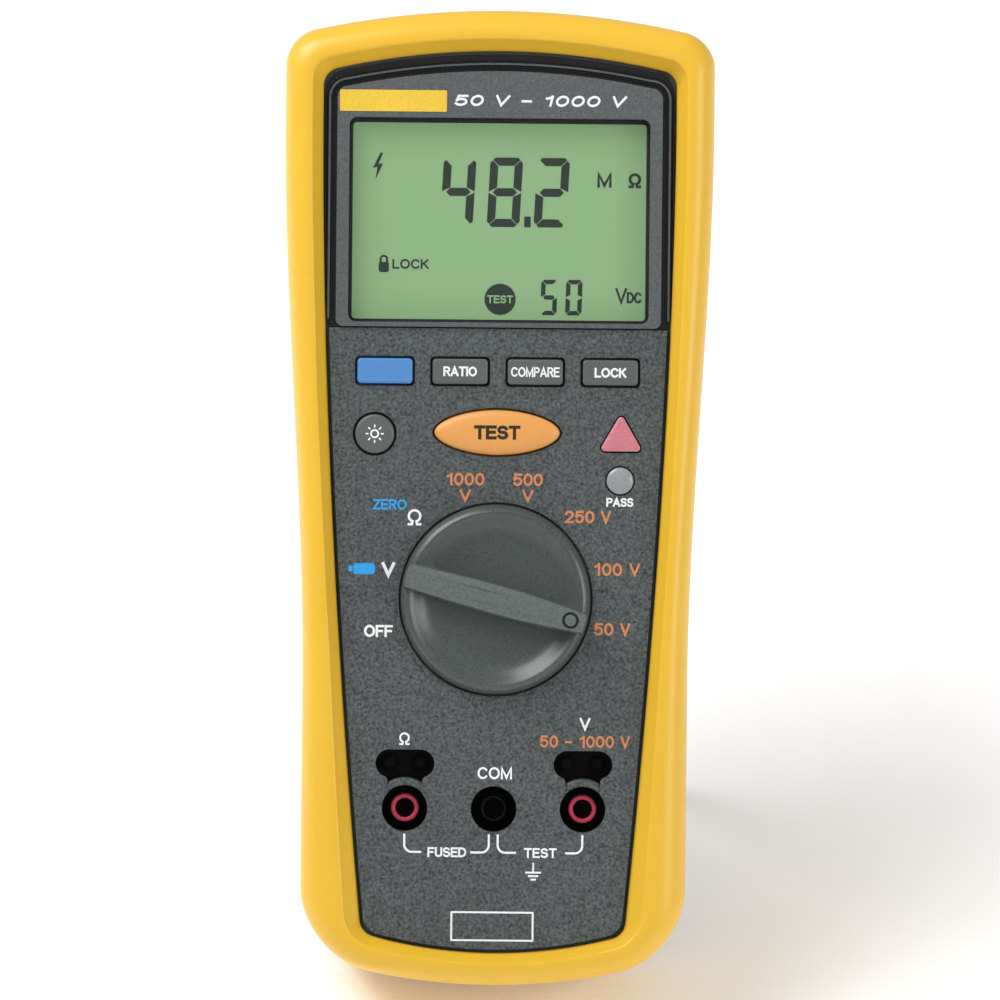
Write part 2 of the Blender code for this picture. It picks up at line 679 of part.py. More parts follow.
def make_bezel():
    """Flat surround with a crowned top edge that follows the rim."""
    low_radius = 1.5 * MM
    outline = arc((BEZEL_HALF_WIDTH - low_radius, BEZEL_LOW + low_radius), low_radius, 270, 360, 3)
    corner_x = BEZEL_HALF_WIDTH - 3.5 * MM
    top_edge = BEZEL_TOP - crown_drop(corner_x, FACE_TOP_RADIUS)
    outline += rounded_corner((BEZEL_HALF_WIDTH, top_edge - 3.5 * MM),
                              (BEZEL_HALF_WIDTH, top_edge), (corner_x, top_edge), 4)
    for step in (3, 2, 1, 0):
        x = corner_x * step / 4
        outline.append((x, BEZEL_TOP - crown_drop(x, FACE_TOP_RADIUS)))
    outline += [(-x, y) for x, y in reversed(outline[:-1])]
    window = rounded_box(WINDOW_HALF_WIDTH, WINDOW_LOW, WINDOW_HIGH, 1.7 * MM)
    mesh = flat_mesh("display_bezel", [outline, window], DISPLAY_LEDGE + GAP, BEZEL_FACE)
    add_part("display_bezel", mesh, GREY_PLASTIC)


def make_display():
    window = rounded_box(32.9 * MM, 37.2 * MM, 81.7 * MM, MM, 2)
    add_part("display_window", flat_mesh("display_window", [window], PANE_LOW, DISPLAY_LEDGE),
             CLEAR_PLASTIC)
    glass = rounded_box(33.0 * MM, 35.0 * MM, 83.5 * MM, 0.5 * MM, 1)
    add_part("display_glass", flat_mesh("display_glass", [glass], GLASS_LOW, GLASS_TOP), LCD_GREEN)
    low, high = DISPLAY_FRAME_Y
    frame = box_mesh("display_frame", (-33.5 * MM, low, BOARD_TOP + GAP), (33.5 * MM, high, DISPLAY_FRAME_TOP))
    frame = add_part("display_frame", frame, WHITE_PLASTIC)
    rooms = (("light_guide", LIGHT_GUIDE_HALF_WIDTH, LIGHT_GUIDE_Y, WHITE_PLASTIC),
             ("display_connector", CONNECTOR_HALF_WIDTH, CONNECTOR_Y, BLACK_RUBBER))
    for name, half, (low, high), material in rooms:
        room = box_mesh(name + "_room", (-half - GAP, low - GAP, BOARD_TOP),
                        (half + GAP, high + GAP, DISPLAY_FRAME_TOP + MM))
        combine(frame, add_cutter(name + "_room", room))
        add_part(name, box_mesh(name, (-half, low, BOARD_TOP + GAP), (half, high, DISPLAY_FRAME_TOP)), material)


def make_boards():
    outline = rounded_box(35 * MM, -48 * MM, 86 * MM, 4 * MM)
    boss_holes = [circle(BOSS_RADIUS + GAP, (side * LOWER_SCREW[0], LOWER_SCREW[1]), 16)
                  for side in (-1, 1)]
    add_part("main_board", flat_mesh("main_board", [outline, *boss_holes], BOARD_LOW, BOARD_TOP),
             BOARD_GREEN)
    input_board = box_mesh("input_board", (-27 * MM, -80 * MM, INPUT_BOARD_LOW),
                           (27 * MM, -42 * MM, INPUT_BOARD_TOP))
    add_part("input_board", input_board, BOARD_GREEN)
    header = box_mesh("board_header", (-12 * MM, -47 * MM, INPUT_BOARD_TOP + GAP),
                      (12 * MM, -43 * MM, BOARD_LOW - GAP))
    add_part("board_header", header, BLACK_PLASTIC)
    beeper = cylinder_mesh("beeper", BEEPER_RADIUS, BOARD_TOP + GAP, BEEPER_TOP)
    add_part("beeper", beeper, BLACK_PLASTIC, (*BEEPER_PLACE, 0))
    half_x, half_y = LED_HALF_SIZE
    for name, (x, y) in (("hazard_led", HAZARD_LAMP), ("pass_led", PASS_LAMP)):
        led = box_mesh(name, (-half_x, -half_y, BOARD_TOP + GAP), (half_x, half_y, LED_TOP))
        add_part(name, led, WHITE_PLASTIC, (x, y, 0))


def make_keypad_mat():
    outline = [(-33 * MM, 8 * MM), (16 * MM, 8 * MM), (16 * MM, 21 * MM), (33 * MM, 21 * MM),
               (33 * MM, 32 * MM), (-33 * MM, 32 * MM)]
    add_part("keypad_mat", flat_mesh("keypad_mat", [outline], BOARD_TOP + GAP, MAT_TOP), GREY_RUBBER)


def make_key(name, outline, flange, material, centre, top=KEY_TOP):
    """A key cap with the flange that keeps it behind the face."""
    key = add_part(name, flat_mesh(name, [outline], KEY_UNDERSIDE, top), material, (*centre, 0))
    tool = flat_mesh(name + "_flange", [flange], KEY_UNDERSIDE - 0.1 * MM, KEY_FLANGE_TOP)
    combine(key, add_cutter(name + "_flange", tool, (*centre, 0)), "UNION")


def make_keys():
    names = ("shift_button", "ratio_button", "compare_button", "lock_button")
    half_x, half_y = KEY_HALF_SIZE
    for name, x in zip(names, key_places()):
        cap = rounded_box(half_x, -half_y, half_y, 0.8 * MM, 2)
        flange = rounded_box(half_x + KEY_FLANGE, -half_y - KEY_FLANGE, half_y + KEY_FLANGE, MM, 2)
        material = BLUE_PLASTIC if name == "shift_button" else KEY_GREY
        make_key(name, cap, flange, material, (x, KEY_HEIGHT))
    make_key("backlight_button", circle(BACKLIGHT_RADIUS), circle(BACKLIGHT_RADIUS + KEY_FLANGE), KEY_GREY,
             BACKLIGHT_KEY)
    half_x, half_y = TEST_HALF_SIZE
    make_key("test_button", ellipse(half_x, half_y, (0, 0)),
             ellipse(half_x + KEY_FLANGE, half_y + KEY_FLANGE, (0, 0)), ORANGE_PLASTIC, TEST_KEY,
             TEST_KEY_TOP)


def make_lamps():
    hazard = flat_mesh("hazard_lens", [triangle(HAZARD_RADIUS, (0, 0))], LENS_LOW, LENS_TOP)
    add_part("hazard_lens", hazard, RED_LENS, (*HAZARD_LAMP, 0))
    lens = cylinder_mesh("pass_lens", PASS_RADIUS, LENS_LOW, LENS_TOP)
    smooth_shade(add_part("pass_lens", lens, GREY_LENS, (*PASS_LAMP, 0)))


def make_knob():
    profile = [(0, KNOB_DISH), (12.5 * MM, KNOB_DISH), (16.5 * MM, KNOB_EDGE - 0.8 * MM),
               (18.6 * MM, KNOB_EDGE), (19.6 * MM, KNOB_EDGE - 0.6 * MM), (KNOB_RADIUS, KNOB_EDGE - 1.8 * MM),
               (KNOB_RADIUS, KNOB_UNDERSIDE), (0, KNOB_UNDERSIDE)]
    knob = add_part("knob", profile_mesh("knob", profile), KNOB_GREY, (*KNOB_CENTRE, 0))
    knob.rotation_euler.z = KNOB_REST_ANGLE
    spin_profile(knob, 36)
    tail = arc((-15.6 * MM, 0), 3.3 * MM, 110, 250, 4)
    point = arc((17.2 * MM, 0), 1.4 * MM, -60, 60, 3)
    grip = add_cutter("grip_bar", flat_mesh("grip_bar", [tail + point], 44 * MM, KNOB_TOP),
                      (*KNOB_CENTRE, 0))
    grip.rotation_euler.z = KNOB_REST_ANGLE
    round_edges(grip, 0.9 * MM, 2, 60)
    combine(knob, grip, "UNION")
    smooth_shade(knob)


def make_switch():
    """The contact disc that the knob turns over the board, with its shaft."""
    profile = [(0, SHAFT_TOP), (SHAFT_RADIUS, SHAFT_TOP), (SHAFT_RADIUS, ROTOR_TOP), (ROTOR_RADIUS, ROTOR_TOP),
               (ROTOR_RADIUS, BOARD_TOP + 0.4 * MM), (0, BOARD_TOP + 0.4 * MM)]
    rotor = add_part("switch_rotor", profile_mesh("switch_rotor", profile), WHITE_PLASTIC,
                     (*KNOB_CENTRE, 0))
    spin_profile(rotor, 18)
    notches = []
    for step in range(48):
        radius = (12.6 if step % 4 < 2 else 13.4) * MM
        angle = 2 * math.pi * step / 48
        notches.append((radius * math.cos(angle), radius * math.sin(angle)))
    ring = flat_mesh("detent_ring", [circle(DETENT_RING_RADIUS, steps=24), notches], *DETENT_RING_Z)
    add_part("detent_ring", ring, WHITE_PLASTIC, (*KNOB_CENTRE, 0))


def make_socket_block():
    top = FACE_INSIDE - GAP
    block = add_part("socket_block", flat_mesh("socket_block",
                                               [rounded_box(26 * MM, -74 * MM, -51 * MM, 2 * MM)],
                                               INPUT_BOARD_TOP + GAP, top), BLACK_PLASTIC)
    for number in (-1, 0, 1):
        x = number * SOCKET_PITCH
        well = cylinder_mesh("well", WELL_RADIUS - 0.1 * MM, INPUT_BOARD_TOP + 2 * MM, top + MM)
        combine(block, add_cutter("well_%d" % (number + 1), well, (x, SOCKET_HEIGHT, 0)))
        stem = cylinder_mesh("stem_hole", STEM_HOLE_RADIUS, INPUT_BOARD_TOP, INPUT_BOARD_TOP + 3 * MM, steps=16)
        combine(block, add_cutter("stem_hole_%d" % (number + 1), stem, (x, SOCKET_HEIGHT, 0)))
        if number:
            recess = flat_mesh("remote_recess", [remote_outline(x, 0.1 * MM)], REMOTE_FLOOR, top + MM)
            combine(block, add_cutter("remote_recess_%d" % (number + 1), recess))
            neck = flat_mesh("neck_recess", [neck_outline(x, 0.1 * MM)], REMOTE_FLOOR, top + MM)
            combine(block, add_cutter("neck_recess_%d" % (number + 1), neck))


def make_sockets():
    """Brass tubes with coloured collars, and the pins of the two remote-probe recesses."""
    places = (("ohm", -SOCKET_PITCH, RED_PLASTIC), ("common", 0.0, BLACK_PLASTIC),
              ("volt", SOCKET_PITCH, RED_PLASTIC))
    for name, x, colour in places:
        bore = circle(SOCKET_BORE, (x, SOCKET_HEIGHT))
        tube = [circle(SOCKET_RADIUS, (x, SOCKET_HEIGHT)), bore]
        add_part(name + "_socket", flat_mesh(name, tube, INPUT_BOARD_TOP + GAP, SOCKET_TOP), BRASS)
        collar = [circle(COLLAR_RADIUS, (x, SOCKET_HEIGHT)), bore]
        add_part(name + "_collar", flat_mesh(name, collar, COLLAR_LOW, COLLAR_TOP), colour)
    for name, x in (("ohm", -SOCKET_PITCH), ("volt", SOCKET_PITCH)):
        for word, side in (("left", -1), ("right", 1)):
            pin = cylinder_mesh("remote_pin", REMOTE_PIN_RADIUS, REMOTE_FLOOR + GAP, COLLAR_TOP, steps=16)
            pin = add_part("%s_remote_pin_%s" % (name, word), pin, BRASS,
                           (x + side * REMOTE_PIN_PITCH / 2, REMOTE_HEIGHT, 0))
            round_edges(pin, 0.3 * MM, 1)


def make_cells():
    half = CELL_LENGTH / 2
    nub, shoulder = 2.6 * MM, half - 1.3 * MM
    profile = [(0, half), (nub, half), (nub, shoulder), (CELL_RADIUS - 0.8 * MM, shoulder),
               (CELL_RADIUS, half - 2 * MM), (CELL_RADIUS, -half), (0, -half)]
    mesh = profile_mesh("cell", profile)
    middle = (COMPARTMENT_LOW + COMPARTMENT_HIGH) / 2
    for number in range(4):
        x = (number - 1.5) * CELL_PITCH
        cell = add_part("cell_%d" % (number + 1), mesh, CELL_BLACK, (x, middle, CELL_DEPTH))
        cell.rotation_euler.x = math.radians(90 if number % 2 else -90)
        spin_profile(cell, 16)
    thick, half = CELL_CONTACT_THICKNESS, CELL_CONTACT_HALF_WIDTH
    low, high = CELL_CONTACT_Z
    for name, y in (("lower_cell_contact", COMPARTMENT_LOW + GAP),
                    ("upper_cell_contact", COMPARTMENT_HIGH - GAP - thick)):
        add_part(name, box_mesh(name, (-half, y, low), (half, y + thick, high)), STEEL)


def make_fuse():
    half, cap = FUSE_HALF_LENGTH, FUSE_CAP_START
    profile = [(0, half), (FUSE_CAP_RADIUS, half), (FUSE_CAP_RADIUS, cap), (FUSE_TUBE_RADIUS, cap),
               (FUSE_TUBE_RADIUS, -cap), (FUSE_CAP_RADIUS, -cap), (FUSE_CAP_RADIUS, -half), (0, -half)]
    fuse = add_part("fuse", profile_mesh("fuse", profile), WHITE_PLASTIC, (0, FUSE_HEIGHT, FUSE_DEPTH))
    fuse.rotation_euler.y = math.pi / 2
    spin_profile(fuse, 16)
    inside = FUSE_CAP_RADIUS + GAP
    outline = arc((0, 0), inside + 0.6 * MM, -20, 200, 12) + arc((0, 0), inside, 200, -20, 12)
    for name, x in (("left_fuse_clip", -FUSE_CLIP_X), ("right_fuse_clip", FUSE_CLIP_X)):
        clip = add_part(name, flat_mesh(name, [outline], -2.2 * MM, 2.2 * MM), STEEL,
                        (x, FUSE_HEIGHT, FUSE_DEPTH))
        turn_to_side(clip.data)


def make_door():
    plate = rounded_box(DOOR_HALF_WIDTH, DOOR_LOW, DOOR_HIGH, 2.7 * MM)
    lock_holes = [circle(LOCK_HOLE_RADIUS, (side * LOCK_X, LOCK_HEIGHT)) for side in (-1, 1)]
    door = add_part("battery_door", flat_mesh("battery_door", [plate, *lock_holes], DOOR_OUTSIDE,
                                              DOOR_LEDGE - GAP), GREY_PLASTIC)
    grip = flat_mesh("door_grip", [ellipse(9 * MM, 3 * MM, (0, -84 * MM))], DOOR_OUTSIDE - MM,
                     DOOR_OUTSIDE + MM)
    combine(door, add_cutter("door_grip", grip))
    face = DOOR_OUTSIDE + 0.1 * MM
    for name, side in (("left_door_lock", -1), ("right_door_lock", 1)):
        place_at = (side * LOCK_X, LOCK_HEIGHT, 0)
        profile = [(0, LOCK_TOP), (LOCK_STEM_RADIUS, LOCK_TOP), (LOCK_STEM_RADIUS, DOOR_LEDGE - 0.2 * MM),
                   (LOCK_HEAD_RADIUS, DOOR_LEDGE - 0.2 * MM), (LOCK_HEAD_RADIUS, face), (0, face)]
        lock = add_part(name, profile_mesh(name, profile), BLACK_PLASTIC, place_at)
        spin_profile(lock, 16)
        tongue = box_mesh(name + "_tongue", (-3.8 * MM, -1.1 * MM, LOCK_TOP - 1.6 * MM),
                          (3.8 * MM, 1.1 * MM, LOCK_TOP + 0.4 * MM))
        combine(lock, add_cutter(name + "_tongue", tongue, place_at), "UNION")
        slot = box_mesh(name + "_slot", (-0.6 * MM, -2.4 * MM, face - MM),
                        (0.6 * MM, 2.4 * MM, face + 1.1 * MM))
        combine(lock, add_cutter(name + "_slot", slot, place_at))


def stand_opening_angle():
    """The angle at which the foot meets the surface that the holster's edge stands on."""
    centre_y = BODY_BOTTOM + HOLSTER_EDGE
    edge = centre_y * math.cos(LEAN) + HOLSTER_EDGE * math.sin(LEAN) - HOLSTER_EDGE
    hinge = HINGE_HEIGHT * math.cos(LEAN) + HINGE_DEPTH * math.sin(LEAN) - edge
    return LEAN + math.acos((hinge - FOOT_RADIUS) / STAND_LEG)


def make_stand():
    """A flat frame with a round barrel at the hinge and a round foot, turned out by the hinge."""
    hinge = bpy.data.objects.new("stand_hinge", None)
    PARTS.objects.link(hinge)
    hinge.parent = BODY
    hinge.location = (0, HINGE_HEIGHT, HINGE_DEPTH)
    hinge.rotation_euler.x = stand_opening_angle()
    meet = math.degrees(math.asin(STAND_HALF_THICKNESS / BARREL_RADIUS))
    foot_meet = math.degrees(math.asin(STAND_HALF_THICKNESS / FOOT_RADIUS))
    side = arc((0, 0), BARREL_RADIUS, meet - 180, 180 - meet, 12)
    side += arc((-STAND_LEG, 0), FOOT_RADIUS, foot_meet, 360 - foot_meet, 12)
    half = STAND_HALF_WIDTH
    stand = add_part("tilt_stand", flat_mesh("tilt_stand", [side], -half, half), YELLOW_RUBBER,
                     parent=hinge)
    turn_to_side(stand.data)
    low, high = -STAND_LEG - 4 * MM, 4 * MM
    window = rounded_box(half - 8 * MM, -STAND_LEG + 13 * MM, -10 * MM, 4 * MM)
    plan = rounded_box(half, low + 1.4 * MM, high, 1.5 * MM, 4, low_radius=11 * MM)
    keep = flat_mesh("stand_plan", [plan, window], -5 * MM, 5 * MM)
    combine(stand, add_cutter("stand_plan", keep, parent=hinge), "INTERSECT")
    for name, sign in (("left_stand_pin", -1), ("right_stand_pin", 1)):
        bore = cylinder_mesh(name + "_bore", PIN_RADIUS + GAP, -3.5 * MM, 3.5 * MM, steps=16)
        bore = add_cutter(name + "_bore", bore, (sign * 29.5 * MM, 0, 0), hinge)
        bore.rotation_euler.y = math.pi / 2
        combine(stand, bore)
        pin = cylinder_mesh(name, PIN_RADIUS, -PIN_HALF_LENGTH, PIN_HALF_LENGTH, steps=16)
        pin = add_part(name, pin, STEEL, (sign * PIN_X, HINGE_HEIGHT, HINGE_DEPTH))
        pin.rotation_euler.y = math.pi / 2


def stand_on_floor():
    """Moves the whole tester so that it stands on Z = 0 with its box centred on the origin."""
    bpy.context.view_layer.update()
    depsgraph = bpy.context.evaluated_depsgraph_get()
    corners = []
    for part in PARTS.objects:
        if part.type == "MESH":
            evaluated = part.evaluated_get(depsgraph)
            corners += [evaluated.matrix_world @ vertex.co for vertex in evaluated.data.vertices]
    low = [min(corner[axis] for corner in corners) for axis in range(3)]
    high = [max(corner[axis] for corner in corners) for axis in range(3)]
    BODY.location = (-(low[0] + high[0]) / 2, -(low[1] + high[1]) / 2, -low[2])


clear_scene()
PARTS = make_collection("insulation_tester")
CUTTERS = make_collection("cutters")
BODY = bpy.data.objects.new("body_frame", None)
PARTS.objects.link(BODY)
BODY.rotation_euler.x = math.pi / 2 - LEAN

YELLOW_RUBBER = make_material("yellow_rubber", (240, 192, 46), 0.55)
GREY_PLASTIC = make_material("grey_plastic", (88, 94, 94), 0.6)
KNOB_GREY = make_material("knob_grey", (78, 86, 84), 0.5)
KEY_GREY = make_material("key_grey", (100, 104, 100), 0.5)
BLACK_PLASTIC = make_material("black_plastic", (16, 16, 18), 0.5)
WHITE_PLASTIC = make_material("white_plastic", (225, 225, 220), 0.5)
BLUE_PLASTIC = make_material("blue_plastic", (84, 142, 212), 0.45)
ORANGE_PLASTIC = make_material("orange_plastic", (240, 160, 74), 0.45)
RED_PLASTIC = make_material("red_plastic", (222, 70, 96), 0.45)
RED_LENS = make_material("red_lens", (220, 90, 110), 0.25)
GREY_LENS = make_material("grey_lens", (150, 154, 156), 0.25)
CLEAR_PLASTIC = make_material("clear_plastic", (220, 228, 220), 0.1)
LCD_GREEN = make_material("lcd_green", (144, 186, 132), 0.3)
GREY_RUBBER = make_material("grey_rubber", (120, 120, 118), 0.7)
BLACK_RUBBER = make_material("black_rubber", (24, 24, 24), 0.8)
BOARD_GREEN = make_material("board_green", (22, 92, 52), 0.5)
CELL_BLACK = make_material("cell_black", (34, 34, 38), 0.35)
BRASS = make_material("brass", (196, 160, 92), 0.3, 1.0)
STEEL = make_material("steel", (170, 172, 176), 0.35, 1.0)

make_holster()
make_rear_case()
make_front_case()
make_gasket()
make_screws()
make_bezel()
make_display()
make_boards()
make_keypad_mat()
make_keys()
make_lamps()
make_knob()
make_switch()
make_socket_block()
make_sockets()
make_cells()
make_fuse()
make_door()
make_stand()
stand_on_floor()
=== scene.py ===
# Insulation resistance tester, leaning back on its open stand.
# Pieces are modelled in millimetres, lying flat: X across the face, Y up to the display, Z out of the face.
import json
import math

import bpy
from mathutils import Matrix, Vector


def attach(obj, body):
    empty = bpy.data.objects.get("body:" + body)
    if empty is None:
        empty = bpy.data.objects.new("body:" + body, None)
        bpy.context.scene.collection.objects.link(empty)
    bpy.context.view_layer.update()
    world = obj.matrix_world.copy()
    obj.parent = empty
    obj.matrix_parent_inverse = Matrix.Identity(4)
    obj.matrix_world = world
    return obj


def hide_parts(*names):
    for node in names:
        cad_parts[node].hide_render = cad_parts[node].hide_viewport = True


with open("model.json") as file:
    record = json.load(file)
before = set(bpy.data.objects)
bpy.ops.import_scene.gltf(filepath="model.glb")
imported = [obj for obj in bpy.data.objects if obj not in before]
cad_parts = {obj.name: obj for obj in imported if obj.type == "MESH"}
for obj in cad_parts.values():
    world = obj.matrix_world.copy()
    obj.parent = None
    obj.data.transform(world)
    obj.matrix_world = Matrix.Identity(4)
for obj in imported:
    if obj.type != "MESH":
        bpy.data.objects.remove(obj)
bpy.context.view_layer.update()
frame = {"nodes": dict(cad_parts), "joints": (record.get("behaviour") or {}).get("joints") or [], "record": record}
joints = {joint["name"]: joint for joint in frame["joints"]}
print("frame loaded,", len(frame["nodes"]), "nodes")

# The knob's joint says where the flat, millimetre model goes in the frame
knobSpot = Vector((0.0, -21.7, 44.0))
outOfFace = Vector(joints["knob_turn"]["axis"])
lean = math.asin(outOfFace.z)
toFrame = (Matrix.Translation(joints["knob_turn"]["pos_m"]) @ Matrix.Rotation(math.pi / 2 - lean, 4, "X")
           @ Matrix.Scale(0.001, 4) @ Matrix.Translation(-knobSpot))
mergeGap = 0.002  # mm
faceCut = (40.0, 46.0)  # heights that reach right through the face


def leaveEdit():
    bpy.ops.object.mode_set(mode="OBJECT")


def deselect():
    if bpy.context.object and bpy.context.object.mode != "OBJECT":
        leaveEdit()
    bpy.ops.object.select_all(action="DESELECT")


def pick(*pieces):
    deselect()
    for piece in pieces:
        piece.select_set(True)
    bpy.context.view_layer.objects.active = pieces[0]


def editAll(piece):
    pick(piece)
    bpy.ops.object.mode_set(mode="EDIT")
    bpy.ops.mesh.select_mode(type="VERT")
    bpy.ops.mesh.select_all(action="SELECT")


def editFaces(piece, wanted):
    # Opens the piece in edit mode with just the faces for which wanted(centre, normal) holds
    pick(piece)
    for part in (piece.data.vertices, piece.data.edges, piece.data.polygons):
        part.foreach_set("select", [False] * len(part))
    for face in piece.data.polygons:
        face.select = bool(wanted(face.center, face.normal))
    bpy.ops.object.mode_set(mode="EDIT")
    bpy.ops.mesh.select_mode(type="FACE")


def closeUp(piece):
    # Seams and poles merged, holes capped, faces turned outwards
    editAll(piece)
    bpy.ops.mesh.remove_doubles(threshold=mergeGap)
    bpy.ops.mesh.select_all(action="DESELECT")
    bpy.ops.mesh.select_non_manifold(extend=False)
    bpy.ops.mesh.fill_holes(sides=0)
    bpy.ops.mesh.select_all(action="SELECT")
    bpy.ops.mesh.normals_make_consistent(inside=False)
    leaveEdit()


def plate(name, points, low, high):
    # A flat outline given thickness
    deselect()
    bpy.ops.mesh.primitive_circle_add(vertices=len(points), radius=1, fill_type="NGON")
    piece = bpy.context.object
    piece.name = name
    for vertex, (x, y) in zip(piece.data.vertices, points):
        vertex.co = (x, y, low)
    editAll(piece)
    bpy.ops.mesh.extrude_region_move(TRANSFORM_OT_translate={"value": (0, 0, high - low)})
    bpy.ops.mesh.select_all(action="SELECT")
    bpy.ops.mesh.normals_make_consistent(inside=False)
    leaveEdit()
    return piece


def loft(name, rings, loop=False):
    # A grid wrapped round: each of its rows is laid on one ring of points
    rows = rings + [rings[0]] if loop else rings
    count = len(rows[0])
    deselect()
    bpy.ops.mesh.primitive_grid_add(x_subdivisions=count, y_subdivisions=len(rows) - 1, size=1)
    piece = bpy.context.object
    piece.name = name
    spots = [ring[step % count] for ring in rows for step in range(count + 1)]
    piece.data.vertices.foreach_set("co", [value for spot in spots for value in spot])
    closeUp(piece)
    return piece


def level(points, height):
    return [(x, y, height) for x, y in points]


def turned(name, profile, centre=(0.0, 0.0), steps=72, loop=False):
    # Radius and height pairs turned round an upright axis
    rings = [level(circle(radius, centre, steps), height) for radius, height in profile]
    return loft(name, rings, loop)


def roundRing(name, inner, outer, low, high, edge, centre=(0.0, 0.0), steps=64):
    # A tube's short length with rounded ends
    corners = ((outer, low, -90), (outer, high, 0), (inner, high, 90), (inner, low, 180))
    profile = []
    for radius, height, start in corners:
        middle = (radius - edge if radius == outer else radius + edge,
                  height + edge if height == low else height - edge)
        profile += arc(middle, edge, start, start + 90, 4)
    return turned(name, profile, centre, steps, loop=True)


def raiseTop(piece, steps):
    # The top face drawn in and lifted, step by step, for round shoulders and draft
    top = max(face.center.z for face in piece.data.polygons)
    editFaces(piece, lambda centre, normal: centre.z > top - 0.001 and normal.z > 0.9)
    for inwards, rise in steps:
        bpy.ops.mesh.inset(thickness=inwards, depth=rise)
    leaveEdit()


def shoulder(across, rise, segments=4):
    # Steps of a quarter ellipse for raiseTop
    turns = [math.pi / 2 * step / segments for step in range(segments + 1)]
    return [(across * (math.cos(turn) - math.cos(after)), rise * (math.sin(after) - math.sin(turn)))
            for turn, after in zip(turns, turns[1:])]


def finishWith(piece, kind, **settings):
    pick(piece)
    modifier = piece.modifiers.new(kind.lower(), kind)
    for name, value in settings.items():
        setattr(modifier, name, value)
    bpy.ops.object.modifier_apply(modifier=modifier.name)


def bevelEdges(piece, width, segments=2):
    finishWith(piece, "BEVEL", width=width, segments=segments, limit_method="ANGLE",
               angle_limit=math.radians(50), use_clamp_overlap=True)


def combine(piece, tool, operation="DIFFERENCE"):
    finishWith(piece, "BOOLEAN", operation=operation, solver="EXACT", object=tool)
    bpy.data.objects.remove(tool, do_unlink=True)


def cutHoles(piece, outlines, low=faceCut[0], high=faceCut[1]):
    for points in outlines:
        combine(piece, plate("hole", points, low, high))


def keepBeyond(piece, spot, direction):
    # Cuts the piece with a plane and keeps the side that the direction points to
    editAll(piece)
    bpy.ops.mesh.bisect(plane_co=spot, plane_no=direction, use_fill=True, clear_inner=True)
    leaveEdit()


def joinAs(name, pieces):
    pick(*pieces)
    if len(pieces) > 1:
        bpy.ops.object.join()
    pieces[0].name = name
    return pieces[0]


def copyOf(piece, name):
    # A repeated piece, with a mesh of its own
    copy = piece.copy()
    copy.data = piece.data.copy()
    copy.name = name
    bpy.context.scene.collection.objects.link(copy)
    return copy


def cadCopy(node, name):
    # The node's own shape, merged and laid flat, to be worked on
    source = frame["nodes"][node]
    copy = bpy.data.objects.new(name, source.data.copy())
    bpy.context.scene.collection.objects.link(copy)
    copy.data.transform(toFrame.inverted())
    editAll(copy)
    bpy.ops.mesh.remove_doubles(threshold=mergeGap)
    bpy.ops.mesh.dissolve_limited(angle_limit=math.radians(1))
    leaveEdit()
    return copy


def settle(piece, finish, replaced=(), body="housing", look=None, angle=35, flat=True):
    # From flat millimetres into the frame, shaded, finished and riding on its body
    pick(piece)
    bpy.ops.object.transform_apply(location=True, rotation=True, scale=True)
    piece.data.transform(toFrame)
    bpy.ops.object.shade_smooth_by_angle(angle=math.radians(angle))
    if flat:
        finishWith(piece, "WEIGHTED_NORMAL", keep_sharp=True)
    piece.data.materials.clear()
    piece.data.materials.append(looks[look or finishes[finish]])
    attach(piece, body)
    if replaced:
        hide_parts(*replaced)


def circle(radius, centre=(0.0, 0.0), steps=64):
    # Like every outline here it runs anticlockwise
    turn = 2 * math.pi / steps
    return [(centre[0] + radius * math.cos(turn * step), centre[1] + radius * math.sin(turn * step))
            for step in range(steps)]


def bow(x, y, across, up, start, end, steps=10):
    # Points on an oval arc, its angles in degrees
    turns = [math.radians(start + (end - start) * step / steps) for step in range(steps + 1)]
    return [(x + across * math.cos(turn), y + up * math.sin(turn)) for turn in turns]


def arc(centre, radius, start, end, steps):
    return bow(*centre, radius, radius, start, end, steps)


def fullOval(halfX, halfY, centre):
    # An ellipse with slightly keener ends
    def eased(value):
        return math.copysign(abs(value) ** (2 / 1.85), value)
    return [(centre[0] + halfX * eased(x), centre[1] + halfY * eased(y)) for x, y in circle(1, steps=96)]


def roundedBox(halfX, low, high, radius, middle=0.0, steps=8):
    reach = halfX - radius
    points = []
    for number, (x, y) in enumerate(((reach, high - radius), (-reach, high - radius), (-reach, low + radius),
                                     (reach, low + radius))):
        points += arc((middle + x, y), radius, 90 * number, 90 * number + 90, steps)
    return points


def triangle(radius, centre, corner=0.8):
    points = []
    for direction in (90, 210, 330):
        turn = math.radians(direction)
        reach = radius - 2 * corner
        middle = (centre[0] + reach * math.cos(turn), centre[1] + reach * math.sin(turn))
        points += arc(middle, corner, direction - 60, direction + 60, 8)
    return points


def strip(path, width):
    # The outline of a band of even width along an open path, its bends mitred
    spots = [Vector(spot) for spot in path]
    ways = [(after - spot).normalized() for spot, after in zip(spots, spots[1:])]
    right, left = [], []
    for index, spot in enumerate(spots):
        before, after = ways[max(index - 1, 0)], ways[min(index, len(ways) - 1)]
        along = (before + after).normalized()
        reach = width / 2 / max(along.dot(after), 0.4)
        right.append((spot.x + along.y * reach, spot.y - along.x * reach))
        left.append((spot.x - along.y * reach, spot.y + along.x * reach))
    return right + left[::-1]


def smoothStep(share):
    share = min(max(share, 0.0), 1.0)
    return share * share * (3 - 2 * share)


def crownDrop(x, radius):
    return radius - math.sqrt(radius * radius - x * x)


